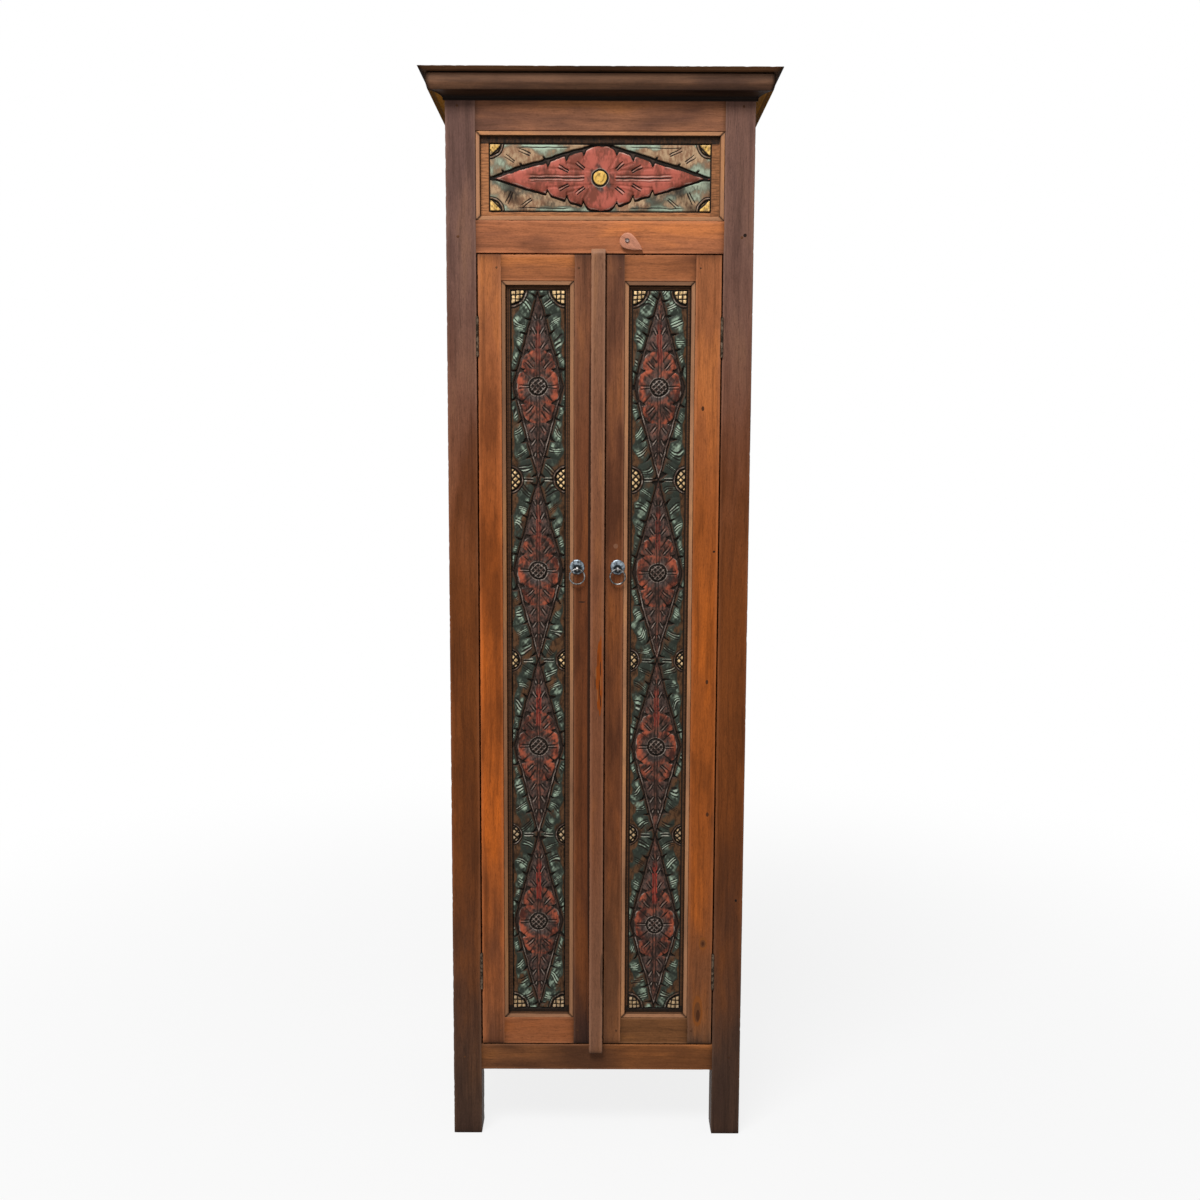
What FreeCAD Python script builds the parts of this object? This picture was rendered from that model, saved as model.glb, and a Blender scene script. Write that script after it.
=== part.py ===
import FreeCAD, Part
import math
import os

# Tall two-door cabinet of old teak: a pegged post-and-rail frame, two framed doors with carved
# panels, a carved frieze over them and a cove cornice under a cap board.
# Units are millimetres. +X is the viewer's right, the front faces -Y, +Z is up, and the floor is Z = 0.

Vector = FreeCAD.Vector

# Heights, stacked from the floor
foot_height = 120.0
bottom_rail_height = 47.0
door_height = 1371.0
door_end_gap = 2.0
mid_rail_height = 53.0
frieze_height = 143.0
top_rail_height = 79.0
cap_thickness = 13.0

# Frame
frame_width = 510.0
body_depth = 360.0
post_width = 50.0
post_depth = 50.0
rail_thickness = 24.0
rail_setback = 0.6
side_rail_thickness = 22.0
side_rail_setback = 2.0
side_panel_thickness = 8.0
back_panel_thickness = 6.0

# Tenons, grooves and pegs
rail_tenon_length = 40.0
rail_tenon_thickness = 10.0
side_tenon_length = 22.0
side_tenon_thickness = 8.0
tenon_shoulder = 8.0
frame_groove_depth = 6.0
frame_peg_radius = 3.0
frame_peg_inset = 30.0
side_peg_inset = 12.0
peg_overrun = 3.0
joint_clearance = 0.05

# Cap and cornice
cap_overhang = 40.0
cornice_projection = 28.0
cornice_height = 27.0
cornice_fillet = 3.0

# Frieze panel and mouldings
moulding_width = 8.0
moulding_depth = 8.0
moulding_bevel = 4.0
frieze_panel_thickness = 9.0
frieze_border_x = 14.0
frieze_border_z = 14.0

# Doors
door_thickness = 24.0
hinge_gap = 2.0
meeting_line = 11.0
meeting_clearance = 0.8
left_hinge_stile_width = 39.5
right_hinge_stile_width = 43.5
left_meeting_stile_width = 52.3
right_meeting_stile_width = 30.0
door_top_rail_height = 43.0
door_bottom_rail_height = 48.0
door_panel_thickness = 9.0
door_groove_depth = 4.0
door_tenon_length = 24.0
door_tenon_thickness = 8.0
door_peg_radius = 2.5
door_peg_inset = 8.0

# Cover strip on the left door
strip_width = 24.0
strip_thickness = 10.0
strip_top_lap = 9.0
strip_bottom_lap = 14.0
strip_chamfer = 2.5

# Carving
flower_count = 4
flower_margin = 6.0
flower_tip_gap = 4.0
flower_relief = 2.5
scallops_per_edge = 3
scallop_bulge = 2.0
boss_radius = 15.0
boss_relief = 5.0
rosette_radius = 18.0
rosette_relief = 3.5
door_field_border_x = 5.5
door_field_border_z = 10.0
frieze_boss_radius = 13.0
frieze_rosette_radius = 22.0

# Butt hinges
hinge_length = 63.5
hinge_inset = 134.0
hinge_knuckles = 5
leaf_reach = 17.0
leaf_thickness = 1.3
leaf_gap = 0.4
barrel_radius = 2.5
barrel_relief = 0.5
pin_radius = 1.25
pin_clearance = 0.05
pin_proud = 0.8
pin_head_radius = 2.2
pin_head_height = 1.2
knuckle_gap = 0.3

# Hinge screws
screw_pitch = 22.0
screws_per_leaf = 3
screw_depth = 10.0
screw_length = 15.0
screw_radius = 1.6
screw_head_radius = 2.8
screw_head_height = 1.2
screw_clearance = 0.05

# Ring pulls
pull_height = 1017.0
pull_plate_rise = 3.0
pull_plate_radius = 12.5
pull_plate_thickness = 2.6
pull_plate_edge = 1.0
pull_edge_wall = 0.6
right_pull_inset = 9.9
eye_shank_radius = 1.3
eye_hole_radius = 2.1
eye_outer_radius = 4.2
eye_thickness = 3.0
eye_standoff = 7.0
eye_rivet_radius = 3.2
eye_rivet_height = 1.5
ring_radius = 12.8
ring_wire_radius = 1.5

# Turn button
button_past_edge = 2.8
button_rise = 22.0
button_thickness = 6.5
button_half_width = 13.0
button_head_length = 12.2
button_tip_length = 29.5
button_rest_angle = 60.0
button_gap = 0.4
button_bevel = 1.2
button_shoulder_share = 0.72
button_flank_share = 0.66
button_screw_radius = 2.0
button_screw_head_radius = 4.0
button_screw_crown_radius = 2.4
button_screw_head_height = 2.2
button_screw_depth = 20.0

# Shelves
shelf_count = 3
shelf_thickness = 18.0
shelf_pitch = 345.0
shelf_front_gap = 8.0
shelf_clearance = 1.0
bottom_board_thickness = 16.0
cleat_width = 20.0
cleat_height = 20.0

# Two places closer than this are the same place
same_place = 0.001

# Levels above the floor
bottom_rail_top = foot_height + bottom_rail_height
door_bottom = bottom_rail_top + door_end_gap
door_top = door_bottom + door_height
mid_rail_bottom = door_top + door_end_gap
frieze_bottom = mid_rail_bottom + mid_rail_height
frieze_top = frieze_bottom + frieze_height
post_top = frieze_top + top_rail_height
panel_opening_bottom = door_bottom + door_bottom_rail_height
panel_opening_top = door_top - door_top_rail_height

# Places across the front and from front to back; depth 0 is the front of the posts
half_width = frame_width / 2
opening_half = half_width - post_width
front = (cap_overhang - body_depth) / 2
door_edge = opening_half - hinge_gap
hinge_x = opening_half - hinge_gap / 2
narrow_reach = hinge_x - abs(meeting_line)
swing_room = math.hypot(narrow_reach, door_thickness + pin_proud) - narrow_reach
meeting_gap = swing_room + meeting_clearance
side_outer = half_width - side_rail_setback
side_inner = side_outer - side_rail_thickness
side_middle = side_outer - side_rail_thickness / 2
front_rail_back = rail_setback + rail_thickness
front_rail_middle = rail_setback + rail_thickness / 2
rear_rail_front = body_depth - front_rail_back
rear_rail_middle = body_depth - front_rail_middle
frieze_face = rail_setback + moulding_depth
door_panel_face = moulding_depth
door_middle = door_thickness / 2
hinge_levels = (door_bottom + hinge_inset, door_top - hinge_inset)

FRONT_RAILS = {
    "front_bottom_rail": (foot_height, bottom_rail_top),
    "front_mid_rail": (mid_rail_bottom, frieze_bottom),
    "front_top_rail": (frieze_top, post_top),
}
OUTER_RAILS = {
    "bottom_rail": (foot_height, bottom_rail_top),
    "top_rail": (frieze_top, post_top),
}


def box(x0, x1, y0, y1, z0, z1):
    """Block between two corners; depths count from the front of the posts."""
    low = Vector(min(x0, x1), front + min(y0, y1), min(z0, z1))
    return Part.makeBox(abs(x1 - x0), abs(y1 - y0), abs(z1 - z0), low)


def rod(radius, length, x, y, z, direction):
    """Cylinder that starts at a point and runs along a direction."""
    return Part.makeCylinder(radius, length, Vector(x, front + y, z), direction)


def flat_prism(points, y0, y1):
    """Polygon of (x, z) points carried from depth y0 to depth y1."""
    corners = [Vector(x, front + y0, z) for x, z in points]
    face = Part.Face(Part.makePolygon(corners + corners[:1]))
    return face.extrude(Vector(0, y1 - y0, 0))


def turned(points, x, y, z, direction):
    """Solid of revolution: (radius, distance along the axis) points turned about an axis."""
    profile = [Vector(radius, 0, along) for radius, along in points]
    face = Part.Face(Part.makePolygon(profile + profile[:1]))
    solid = face.revolve(Vector(0, 0, 0), Vector(0, 0, 1), 360)
    turn = FreeCAD.Rotation(Vector(0, 0, 1), direction)
    solid.Placement = FreeCAD.Placement(Vector(x, front + y, z), turn)
    return solid


def save(name, *solids):
    """One node: a single solid, or a group of separate like solids."""
    shape = solids[0] if len(solids) == 1 else Part.makeCompound(list(solids))
    shape.exportStep("parts/" + name + ".step")


def cut_all(shape, tools):
    """Shape with every tool taken out of it."""
    return shape.cut(tools) if tools else shape


# Frame joinery

def rail_tenon(side, z0, z1, middle, grow):
    """Tenon at one end of a rail along X; grow is 0 for the tenon and the clearance for its mortise."""
    half = rail_tenon_thickness / 2 + grow
    tip = opening_half + rail_tenon_length + grow
    low = z0 + tenon_shoulder - grow
    high = z1 - tenon_shoulder + grow
    return box(side * opening_half, side * tip, middle - half, middle + half, low, high)


def side_tenon(side, z0, z1, edge, inward, grow):
    """Tenon at one end of a side rail, from a post's inner edge into the post."""
    half = side_tenon_thickness / 2 + grow
    tip = edge + inward * (side_tenon_length + grow)
    low = z0 + tenon_shoulder - grow
    high = z1 - tenon_shoulder + grow
    x = side * side_middle
    return box(x - half, x + half, edge, tip, low, high)


def frame_peg(side, level, grow):
    """Peg through a front rail's tenon, flush with the post's front."""
    length = front_rail_middle + rail_tenon_thickness / 2 + peg_overrun + grow
    x = side * (opening_half + frame_peg_inset)
    return rod(frame_peg_radius + grow, length, x, 0, level, Vector(0, 1, 0))


def side_peg(side, level, depth, grow):
    """Peg through a side rail's tenon, flush with the post's outer side."""
    length = half_width - side_middle + side_tenon_thickness / 2 + peg_overrun + grow
    return rod(frame_peg_radius + grow, length, side * half_width, depth, level, Vector(-side, 0, 0))


def peg_level(rail):
    """Middle of a rail's height."""
    return (rail[0] + rail[1]) / 2


def panel_slot(x0, x1, y0, y1, z0, z1):
    """Groove for a panel, wider than the panel by the joint clearance on both faces."""
    return box(x0, x1, y0 - joint_clearance, y1 + joint_clearance, z0, z1)


def side_panel_range():
    """Distances from the middle at which a side panel's faces stand."""
    return side_middle - side_panel_thickness / 2, side_middle + side_panel_thickness / 2


def back_panel_range():
    """Depths of the back panel's faces."""
    return rear_rail_middle - back_panel_thickness / 2, rear_rail_middle + back_panel_thickness / 2


def frieze_range():
    """Depths of the frieze panel's faces."""
    return frieze_face, frieze_face + frieze_panel_thickness


def post(side, rear):
    """Corner post with its mortises, panel grooves, peg holes and, in front, its hinge seats."""
    y0 = body_depth - post_depth if rear else 0
    body = box(side * opening_half, side * half_width, y0, y0 + post_depth, 0, post_top)
    inner_edge = y0 if rear else y0 + post_depth
    inward = 1 if rear else -1
    tools = []
    rails = OUTER_RAILS if rear else FRONT_RAILS
    rail_middle = rear_rail_middle if rear else front_rail_middle
    for rail in rails.values():
        tools.append(rail_tenon(side, rail[0], rail[1], rail_middle, joint_clearance))
        if not rear:
            tools.append(frame_peg(side, peg_level(rail), joint_clearance))
    for rail in OUTER_RAILS.values():
        tools.append(side_tenon(side, rail[0], rail[1], inner_edge, inward, joint_clearance))
        depth = inner_edge + inward * side_peg_inset
        tools.append(side_peg(side, peg_level(rail), depth, joint_clearance))
    near, far = side_panel_range()
    groove_end = inner_edge + inward * frame_groove_depth
    low = bottom_rail_top - frame_groove_depth
    high = frieze_top + frame_groove_depth
    tools.append(box(side * (near - joint_clearance), side * (far + joint_clearance),
                     inner_edge, groove_end, low, high))
    groove_x = side * (opening_half + frame_groove_depth)
    if rear:
        y_near, y_far = back_panel_range()
        tools.append(panel_slot(side * opening_half, groove_x, y_near, y_far, low, high))
    else:
        y_near, y_far = frieze_range()
        tools.append(panel_slot(side * opening_half, groove_x, y_near, y_far,
                                frieze_bottom - frame_groove_depth, high))
        for level in hinge_levels:
            tools += hinge_seat(side, level, 1)
    return cut_all(body, tools)


def cross_rail(z0, z1, middle, extra_tools):
    """Rail along X between two posts, with a tenon at each end."""
    half = rail_thickness / 2
    body = box(-opening_half, opening_half, middle - half, middle + half, z0, z1)
    for side in (-1, 1):
        body = body.fuse(rail_tenon(side, z0, z1, middle, 0))
    return cut_all(body.removeSplitter(), extra_tools)


def front_rails():
    """The three front rails, with the frieze grooves, the peg holes and the button's screw hole."""
    y_near, y_far = frieze_range()
    wide = opening_half + rail_tenon_length
    under_frieze = frieze_bottom - frame_groove_depth
    over_frieze = frieze_top + frame_groove_depth
    grooves = {
        "front_bottom_rail": [],
        "front_mid_rail": [panel_slot(-wide, wide, y_near, y_far, under_frieze, frieze_bottom),
                           button_screw(screw_clearance)],
        "front_top_rail": [panel_slot(-wide, wide, y_near, y_far, frieze_top, over_frieze)],
    }
    for name, rail in FRONT_RAILS.items():
        holes = [frame_peg(side, peg_level(rail), joint_clearance) for side in (-1, 1)]
        save(name, cross_rail(rail[0], rail[1], front_rail_middle, holes + grooves[name]))


def rear_rails():
    """The two rear rails, with the back panel's grooves."""
    y_near, y_far = back_panel_range()
    wide = opening_half + rail_tenon_length
    ledges = {
        "bottom_rail": (bottom_rail_top - frame_groove_depth, bottom_rail_top),
        "top_rail": (frieze_top, frieze_top + frame_groove_depth),
    }
    for name, rail in OUTER_RAILS.items():
        groove = panel_slot(-wide, wide, y_near, y_far, ledges[name][0], ledges[name][1])
        save("rear_" + name, cross_rail(rail[0], rail[1], rear_rail_middle, [groove]))


def side_rails(side, word):
    """Top and bottom rails of one side, with the side panel's grooves and the peg holes."""
    ends = (post_depth, body_depth - post_depth)
    near, far = side_panel_range()
    ledges = {
        "bottom_rail": (bottom_rail_top - frame_groove_depth, bottom_rail_top),
        "top_rail": (frieze_top, frieze_top + frame_groove_depth),
    }
    for name, rail in OUTER_RAILS.items():
        body = box(side * side_inner, side * side_outer, ends[0], ends[1], rail[0], rail[1])
        tools = []
        for edge, inward in ((ends[0], -1), (ends[1], 1)):
            body = body.fuse(side_tenon(side, rail[0], rail[1], edge, inward, 0))
            tools.append(side_peg(side, peg_level(rail), edge + inward * side_peg_inset, joint_clearance))
        low, high = ledges[name]
        tools.append(box(side * (near - joint_clearance), side * (far + joint_clearance),
                         ends[0] - side_tenon_length, ends[1] + side_tenon_length, low, high))
        save(word + "_side_" + name, cut_all(body.removeSplitter(), tools))


def plain_panels():
    """Side panels and back panel, their edges in the grooves of posts and rails."""
    tongue = frame_groove_depth - joint_clearance
    low = bottom_rail_top - tongue
    high = frieze_top + tongue
    near, far = side_panel_range()
    for side, word in ((-1, "left"), (1, "right")):
        save(word + "_side_panel", box(side * near, side * far, post_depth - tongue,
                                       body_depth - post_depth + tongue, low, high))
    y_near, y_far = back_panel_range()
    wide = opening_half + tongue
    save("back_panel", box(-wide, wide, y_near, y_far, low, high))


def pegs_of_frame():
    """Every peg that locks a rail of the frame."""
    pegs = []
    for side in (-1, 1):
        for rail in FRONT_RAILS.values():
            pegs.append(frame_peg(side, peg_level(rail), 0))
        for rail in OUTER_RAILS.values():
            pegs.append(side_peg(side, peg_level(rail), post_depth - side_peg_inset, 0))
            pegs.append(side_peg(side, peg_level(rail), body_depth - post_depth + side_peg_inset, 0))
    save("frame_pegs", *pegs)


# Cap and cornice

def cove_face():
    """Cornice section in (outward, up): two small fillets joined by a hollow quarter curve."""
    low = post_top - cornice_height
    back_low = Vector(0, 0, low)
    lip_low = Vector(cornice_fillet, 0, low)
    lip_up = Vector(cornice_fillet, 0, low + cornice_fillet)
    crown_in = Vector(cornice_projection, 0, post_top - cornice_fillet)
    crown_out = Vector(cornice_projection, 0, post_top)
    back_high = Vector(0, 0, post_top)
    rise = crown_in.z - lip_up.z
    run = crown_in.x - lip_up.x
    bend = 1 - math.sqrt(0.5)
    middle = Vector(lip_up.x + run * bend, 0, lip_up.z + rise * (1 - bend))
    edges = [
        Part.LineSegment(back_low, lip_low).toShape(),
        Part.LineSegment(lip_low, lip_up).toShape(),
        Part.Arc(lip_up, middle, crown_in).toShape(),
        Part.LineSegment(crown_in, crown_out).toShape(),
        Part.LineSegment(crown_out, back_high).toShape(),
        Part.LineSegment(back_high, back_low).toShape(),
    ]
    return Part.Face(Part.Wire(edges))


def level_prism(points):
    """Polygon of (x, depth) points as tall as the cornice."""
    low = post_top - cornice_height
    corners = [Vector(x, front + y, low) for x, y in points]
    face = Part.Face(Part.makePolygon(corners + corners[:1]))
    return face.extrude(Vector(0, 0, cornice_height))


def cornice():
    """Front cove and two side coves, cut to mitres at the front corners."""
    reach = half_width + cornice_projection
    section = cove_face()
    section.rotate(Vector(0, 0, 0), Vector(0, 0, 1), -90)
    section.translate(Vector(-reach, front, 0))
    bar = section.extrude(Vector(2 * reach, 0, 0))
    plan = level_prism([(-reach, -cornice_projection), (reach, -cornice_projection),
                        (half_width, 0), (-half_width, 0)])
    save("cornice_front", bar.common(plan))
    for side, word in ((-1, "left"), (1, "right")):
        section = cove_face()
        if side < 0:
            section.rotate(Vector(0, 0, 0), Vector(0, 0, 1), 180)
        section.translate(Vector(side * half_width, front - cornice_projection, 0))
        bar = section.extrude(Vector(0, body_depth + cornice_projection, 0))
        plan = level_prism([(side * half_width, 0), (side * reach, -cornice_projection),
                            (side * reach, body_depth), (side * half_width, body_depth)])
        save("cornice_" + word, bar.common(plan))


def cap():
    """Flat board over the frame, proud of it in front and at both sides."""
    wide = half_width + cap_overhang
    save("cap_board", box(-wide, wide, -cap_overhang, body_depth, post_top, post_top + cap_thickness))


# Mouldings and carving

def moulding_frame(x0, x1, z0, z1, face):
    """Four mitred lengths of bevelled moulding inside an opening, flush with a face."""
    back = face + moulding_depth
    inner = moulding_width
    step = moulding_width - moulding_bevel
    corners = ((x0, z0), (x1, z0), (x1, z1), (x0, z1))
    inset = ((inner, inner), (-inner, inner), (-inner, -inner), (inner, -inner))
    block = box(x0, x1, face, back, z0, z1)
    rim = Part.makePolygon([Vector(x, front + face, z) for x, z in
                            ((x0 + step, z0 + step), (x1 - step, z0 + step), (x1 - step, z1 - step),
                             (x0 + step, z1 - step), (x0 + step, z0 + step))])
    sill = Part.makePolygon([Vector(x, front + face + moulding_bevel, z) for x, z in
                             ((x0 + inner, z0 + inner), (x1 - inner, z0 + inner), (x1 - inner, z1 - inner),
                              (x0 + inner, z1 - inner), (x0 + inner, z0 + inner))])
    bevel = Part.makeLoft([rim, sill], True, True)
    hole = box(x0 + inner, x1 - inner, face, back, z0 + inner, z1 - inner)
    ring = block.cut(bevel).cut(hole)
    lengths = []
    for i in range(4):
        k = (i + 1) % 4
        a, b = corners[i], corners[k]
        plan = [a, b, (b[0] + inset[k][0], b[1] + inset[k][1]), (a[0] + inset[i][0], a[1] + inset[i][1])]
        lengths.append(ring.common(flat_prism(plan, face, back)))
    return lengths


def scalloped_diamond(x, z, half_x, half_z, face, relief):
    """Raised lozenge whose four edges are rows of small outward arcs."""
    tips = ((half_x, 0), (0, half_z), (-half_x, 0), (0, -half_z))
    edges = []
    for i in range(4):
        a = Vector(x + tips[i][0], front + face, z + tips[i][1])
        b = Vector(x + tips[(i + 1) % 4][0], front + face, z + tips[(i + 1) % 4][1])
        out = (b - a).cross(Vector(0, 1, 0)).normalize() * -scallop_bulge
        if out.dot((a + b) * 0.5 - Vector(x, front + face, z)) < 0:
            out = out * -1
        for k in range(scallops_per_edge):
            start = a + (b - a) * (k / scallops_per_edge)
            end = a + (b - a) * ((k + 1) / scallops_per_edge)
            edges.append(Part.Arc(start, (start + end) * 0.5 + out, end).toShape())
    return Part.Face(Part.Wire(edges)).extrude(Vector(0, -relief, 0))


def disc(x, z, radius, face, relief):
    """Raised round boss on a panel's face."""
    return rod(radius, relief, x, face, z, Vector(0, -1, 0))


def carved_board(board, face, reliefs, x0, x1, z0, z1):
    """Board with raised carving, trimmed to the carved field."""
    field = box(x0, x1, 0, face, z0, z1)
    raised = reliefs[0].multiFuse(reliefs[1:]).common(field)
    return board.fuse(raised).removeSplitter()


def corner_rosettes(x0, x1, z0, z1, radius, face):
    """Rosettes centred on the four corners of a carved field."""
    return [disc(x, z, radius, face, rosette_relief) for x in (x0, x1) for z in (z0, z1)]


def frieze():
    """Carved frieze panel and its mitred moulding."""
    tongue = frame_groove_depth - joint_clearance
    near, far = frieze_range()
    wide = opening_half + tongue
    board = box(-wide, wide, near, far, frieze_bottom - tongue, frieze_top + tongue)
    half_x = opening_half - moulding_width - frieze_border_x
    z0 = frieze_bottom + moulding_width + frieze_border_z / 2
    z1 = frieze_top - moulding_width - frieze_border_z
    middle = (z0 + z1) / 2
    half_z = (z1 - z0) / 2
    reliefs = [scalloped_diamond(0, middle, half_x - flower_tip_gap / 2, half_z, near, flower_relief)]
    reliefs.append(disc(0, middle, frieze_boss_radius, near, boss_relief))
    reliefs += corner_rosettes(-half_x, half_x, z0, z1, frieze_rosette_radius, near)
    save("frieze_panel", carved_board(board, near, reliefs, -half_x, half_x, z0, z1))
    save("frieze_moulding",
         *moulding_frame(-opening_half, opening_half, frieze_bottom, frieze_top, rail_setback))


# Doors

class Door:
    """Places of one door: side is -1 for the left one and 1 for the right one."""

    def __init__(self, side, word, hinge_stile_width, meeting_stile_width):
        self.side = side
        self.word = word
        self.outer = side * door_edge
        self.meeting = meeting_line + side * meeting_gap / 2
        self.opening_outer = self.outer - side * hinge_stile_width
        self.opening_inner = self.meeting + side * meeting_stile_width
        self.low_x = min(self.opening_outer, self.opening_inner)
        self.high_x = max(self.opening_outer, self.opening_inner)


left = Door(-1, "left", left_hinge_stile_width, left_meeting_stile_width)
right = Door(1, "right", right_hinge_stile_width, right_meeting_stile_width)

DOOR_RAILS = {
    "bottom_rail": (door_bottom, panel_opening_bottom),
    "top_rail": (panel_opening_top, door_top),
}


def door_tenon(edge, outward, z0, z1, grow):
    """Tenon of a door rail, from the panel opening's edge into a stile."""
    half = door_tenon_thickness / 2 + grow
    tip = edge + outward * (door_tenon_length + grow)
    low = z0 + tenon_shoulder - grow
    high = z1 - tenon_shoulder + grow
    return box(edge, tip, door_middle - half, door_middle + half, low, high)


def door_peg(edge, outward, level, grow):
    """Peg through a door rail's tenon, flush with the stile's front."""
    length = door_middle + door_tenon_thickness / 2 + peg_overrun + grow
    return rod(door_peg_radius + grow, length, edge + outward * door_peg_inset, 0, level, Vector(0, 1, 0))


def door_panel_range():
    """Depths of a door panel's faces."""
    return door_panel_face, door_panel_face + door_panel_thickness


def stile(edge, far_edge, outward, extra_tools):
    """Full-height stile with mortises, a panel groove and peg holes."""
    near, far = door_panel_range()
    body = box(edge, far_edge, 0, door_thickness, door_bottom, door_top)
    tools = [panel_slot(edge, edge + outward * door_groove_depth, near, far,
                        panel_opening_bottom - door_groove_depth, panel_opening_top + door_groove_depth)]
    for rail in DOOR_RAILS.values():
        tools.append(door_tenon(edge, outward, rail[0], rail[1], joint_clearance))
        tools.append(door_peg(edge, outward, peg_level(rail), joint_clearance))
    return cut_all(body, tools + extra_tools)


def door_rail(door, name):
    """Rail between two stiles, with a tenon at each end and a panel groove."""
    near, far = door_panel_range()
    rail = DOOR_RAILS[name]
    body = box(door.low_x, door.high_x, 0, door_thickness, rail[0], rail[1])
    tools = []
    for edge, outward in ((door.low_x, -1), (door.high_x, 1)):
        body = body.fuse(door_tenon(edge, outward, rail[0], rail[1], 0))
        tools.append(door_peg(edge, outward, peg_level(rail), joint_clearance))
    if name == "top_rail":
        ledge = (rail[0], rail[0] + door_groove_depth)
    else:
        ledge = (rail[1] - door_groove_depth, rail[1])
    tools.append(panel_slot(door.low_x - door_tenon_length, door.high_x + door_tenon_length,
                            near, far, ledge[0], ledge[1]))
    return cut_all(body.removeSplitter(), tools)


def door_panel(door):
    """Panel in the door's grooves, with a column of scalloped flowers, bosses and rosettes."""
    tongue = door_groove_depth - joint_clearance
    near, far = door_panel_range()
    board = box(door.low_x - tongue, door.high_x + tongue, near, far,
                panel_opening_bottom - tongue, panel_opening_top + tongue)
    x0 = door.low_x + moulding_width + door_field_border_x
    x1 = door.high_x - moulding_width - door_field_border_x
    z0 = panel_opening_bottom + moulding_width + door_field_border_z
    z1 = panel_opening_top - moulding_width - door_field_border_z
    middle = (x0 + x1) / 2
    half_flower = (x1 - x0) / 2 - flower_margin
    pitch = (z1 - z0) / flower_count
    half_height = (pitch - flower_tip_gap) / 2
    reliefs = corner_rosettes(x0, x1, z0, z1, rosette_radius, near)
    for i in range(flower_count):
        level = z0 + (i + 0.5) * pitch
        reliefs.append(scalloped_diamond(middle, level, half_flower, half_height, near, flower_relief))
        reliefs.append(disc(middle, level, boss_radius, near, boss_relief))
        if i > 0:
            reliefs += [disc(x, z0 + i * pitch, rosette_radius, near, rosette_relief) for x in (x0, x1)]
    return carved_board(board, near, reliefs, x0, x1, z0, z1)


def build_door(door):
    """All the wooden pieces of one door."""
    side = door.side
    seats = []
    for level in hinge_levels:
        seats += hinge_seat(side, level, -1)
    pull = eye_shank(pull_x(door), screw_clearance)
    save(door.word + "_door_hinge_stile", stile(door.opening_outer, door.outer, side, seats))
    save(door.word + "_door_meeting_stile", stile(door.opening_inner, door.meeting, -side, [pull]))
    for name in DOOR_RAILS:
        save(door.word + "_door_" + name, door_rail(door, name))
    save(door.word + "_door_panel", door_panel(door))
    save(door.word + "_door_moulding",
         *moulding_frame(door.low_x, door.high_x, panel_opening_bottom, panel_opening_top, 0))
    pegs = []
    for edge, outward in ((door.low_x, -1), (door.high_x, 1)):
        pegs += [door_peg(edge, outward, peg_level(rail), 0) for rail in DOOR_RAILS.values()]
    save(door.word + "_door_pegs", *pegs)


def cover_strip():
    """Chamfered strip on the left door's meeting edge, longer than the door at both ends."""
    z0 = door_bottom - strip_bottom_lap
    z1 = door_top + strip_top_lap
    body = box(left.meeting - strip_width, left.meeting, -strip_thickness, 0, z0, z1)
    face = front - strip_thickness
    edges = [edge for edge in body.Edges if abs(edge.CenterOfMass.y - face) < same_place]
    save("cover_strip", body.makeChamfer(strip_chamfer, edges))


# Hinges

def leaf_faces():
    """Distances from the hinge axis of a leaf's inner and outer faces."""
    return leaf_gap / 2, leaf_gap / 2 + leaf_thickness


def hinge_seat(side, level, away):
    """Cuts for one leaf and the barrel: away is 1 in a post and -1 in a door's stile."""
    axis = side * hinge_x
    half = hinge_length / 2
    near, far = leaf_faces()
    barrel_end = half + pin_head_height + knuckle_gap
    tools = [rod(barrel_radius + barrel_relief, 2 * barrel_end, axis, -pin_proud,
                 level - barrel_end, Vector(0, 0, 1))]
    tools.append(box(axis, axis + side * away * (far + joint_clearance), -pin_proud,
                     leaf_reach - pin_proud + joint_clearance,
                     level - half - joint_clearance, level + half + joint_clearance))
    tools += leaf_screws(side, level, away, screw_clearance)
    return tools


def screw_levels(level):
    """Heights of one leaf's screws."""
    first = level - screw_pitch * (screws_per_leaf - 1) / 2
    return [first + i * screw_pitch for i in range(screws_per_leaf)]


def leaf_screws(side, level, away, grow):
    """Countersunk screws of one leaf, heads flush with the leaf's inner face."""
    near, far = leaf_faces()
    start = side * (hinge_x + away * near)
    direction = Vector(side * away, 0, 0)
    outline = [(0, 0), (screw_head_radius + grow, 0), (screw_radius + grow, screw_head_height + grow),
               (screw_radius + grow, screw_length - screw_radius + grow), (0, screw_length + grow)]
    return [turned(outline, start, screw_depth, z, direction) for z in screw_levels(level)]


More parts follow.
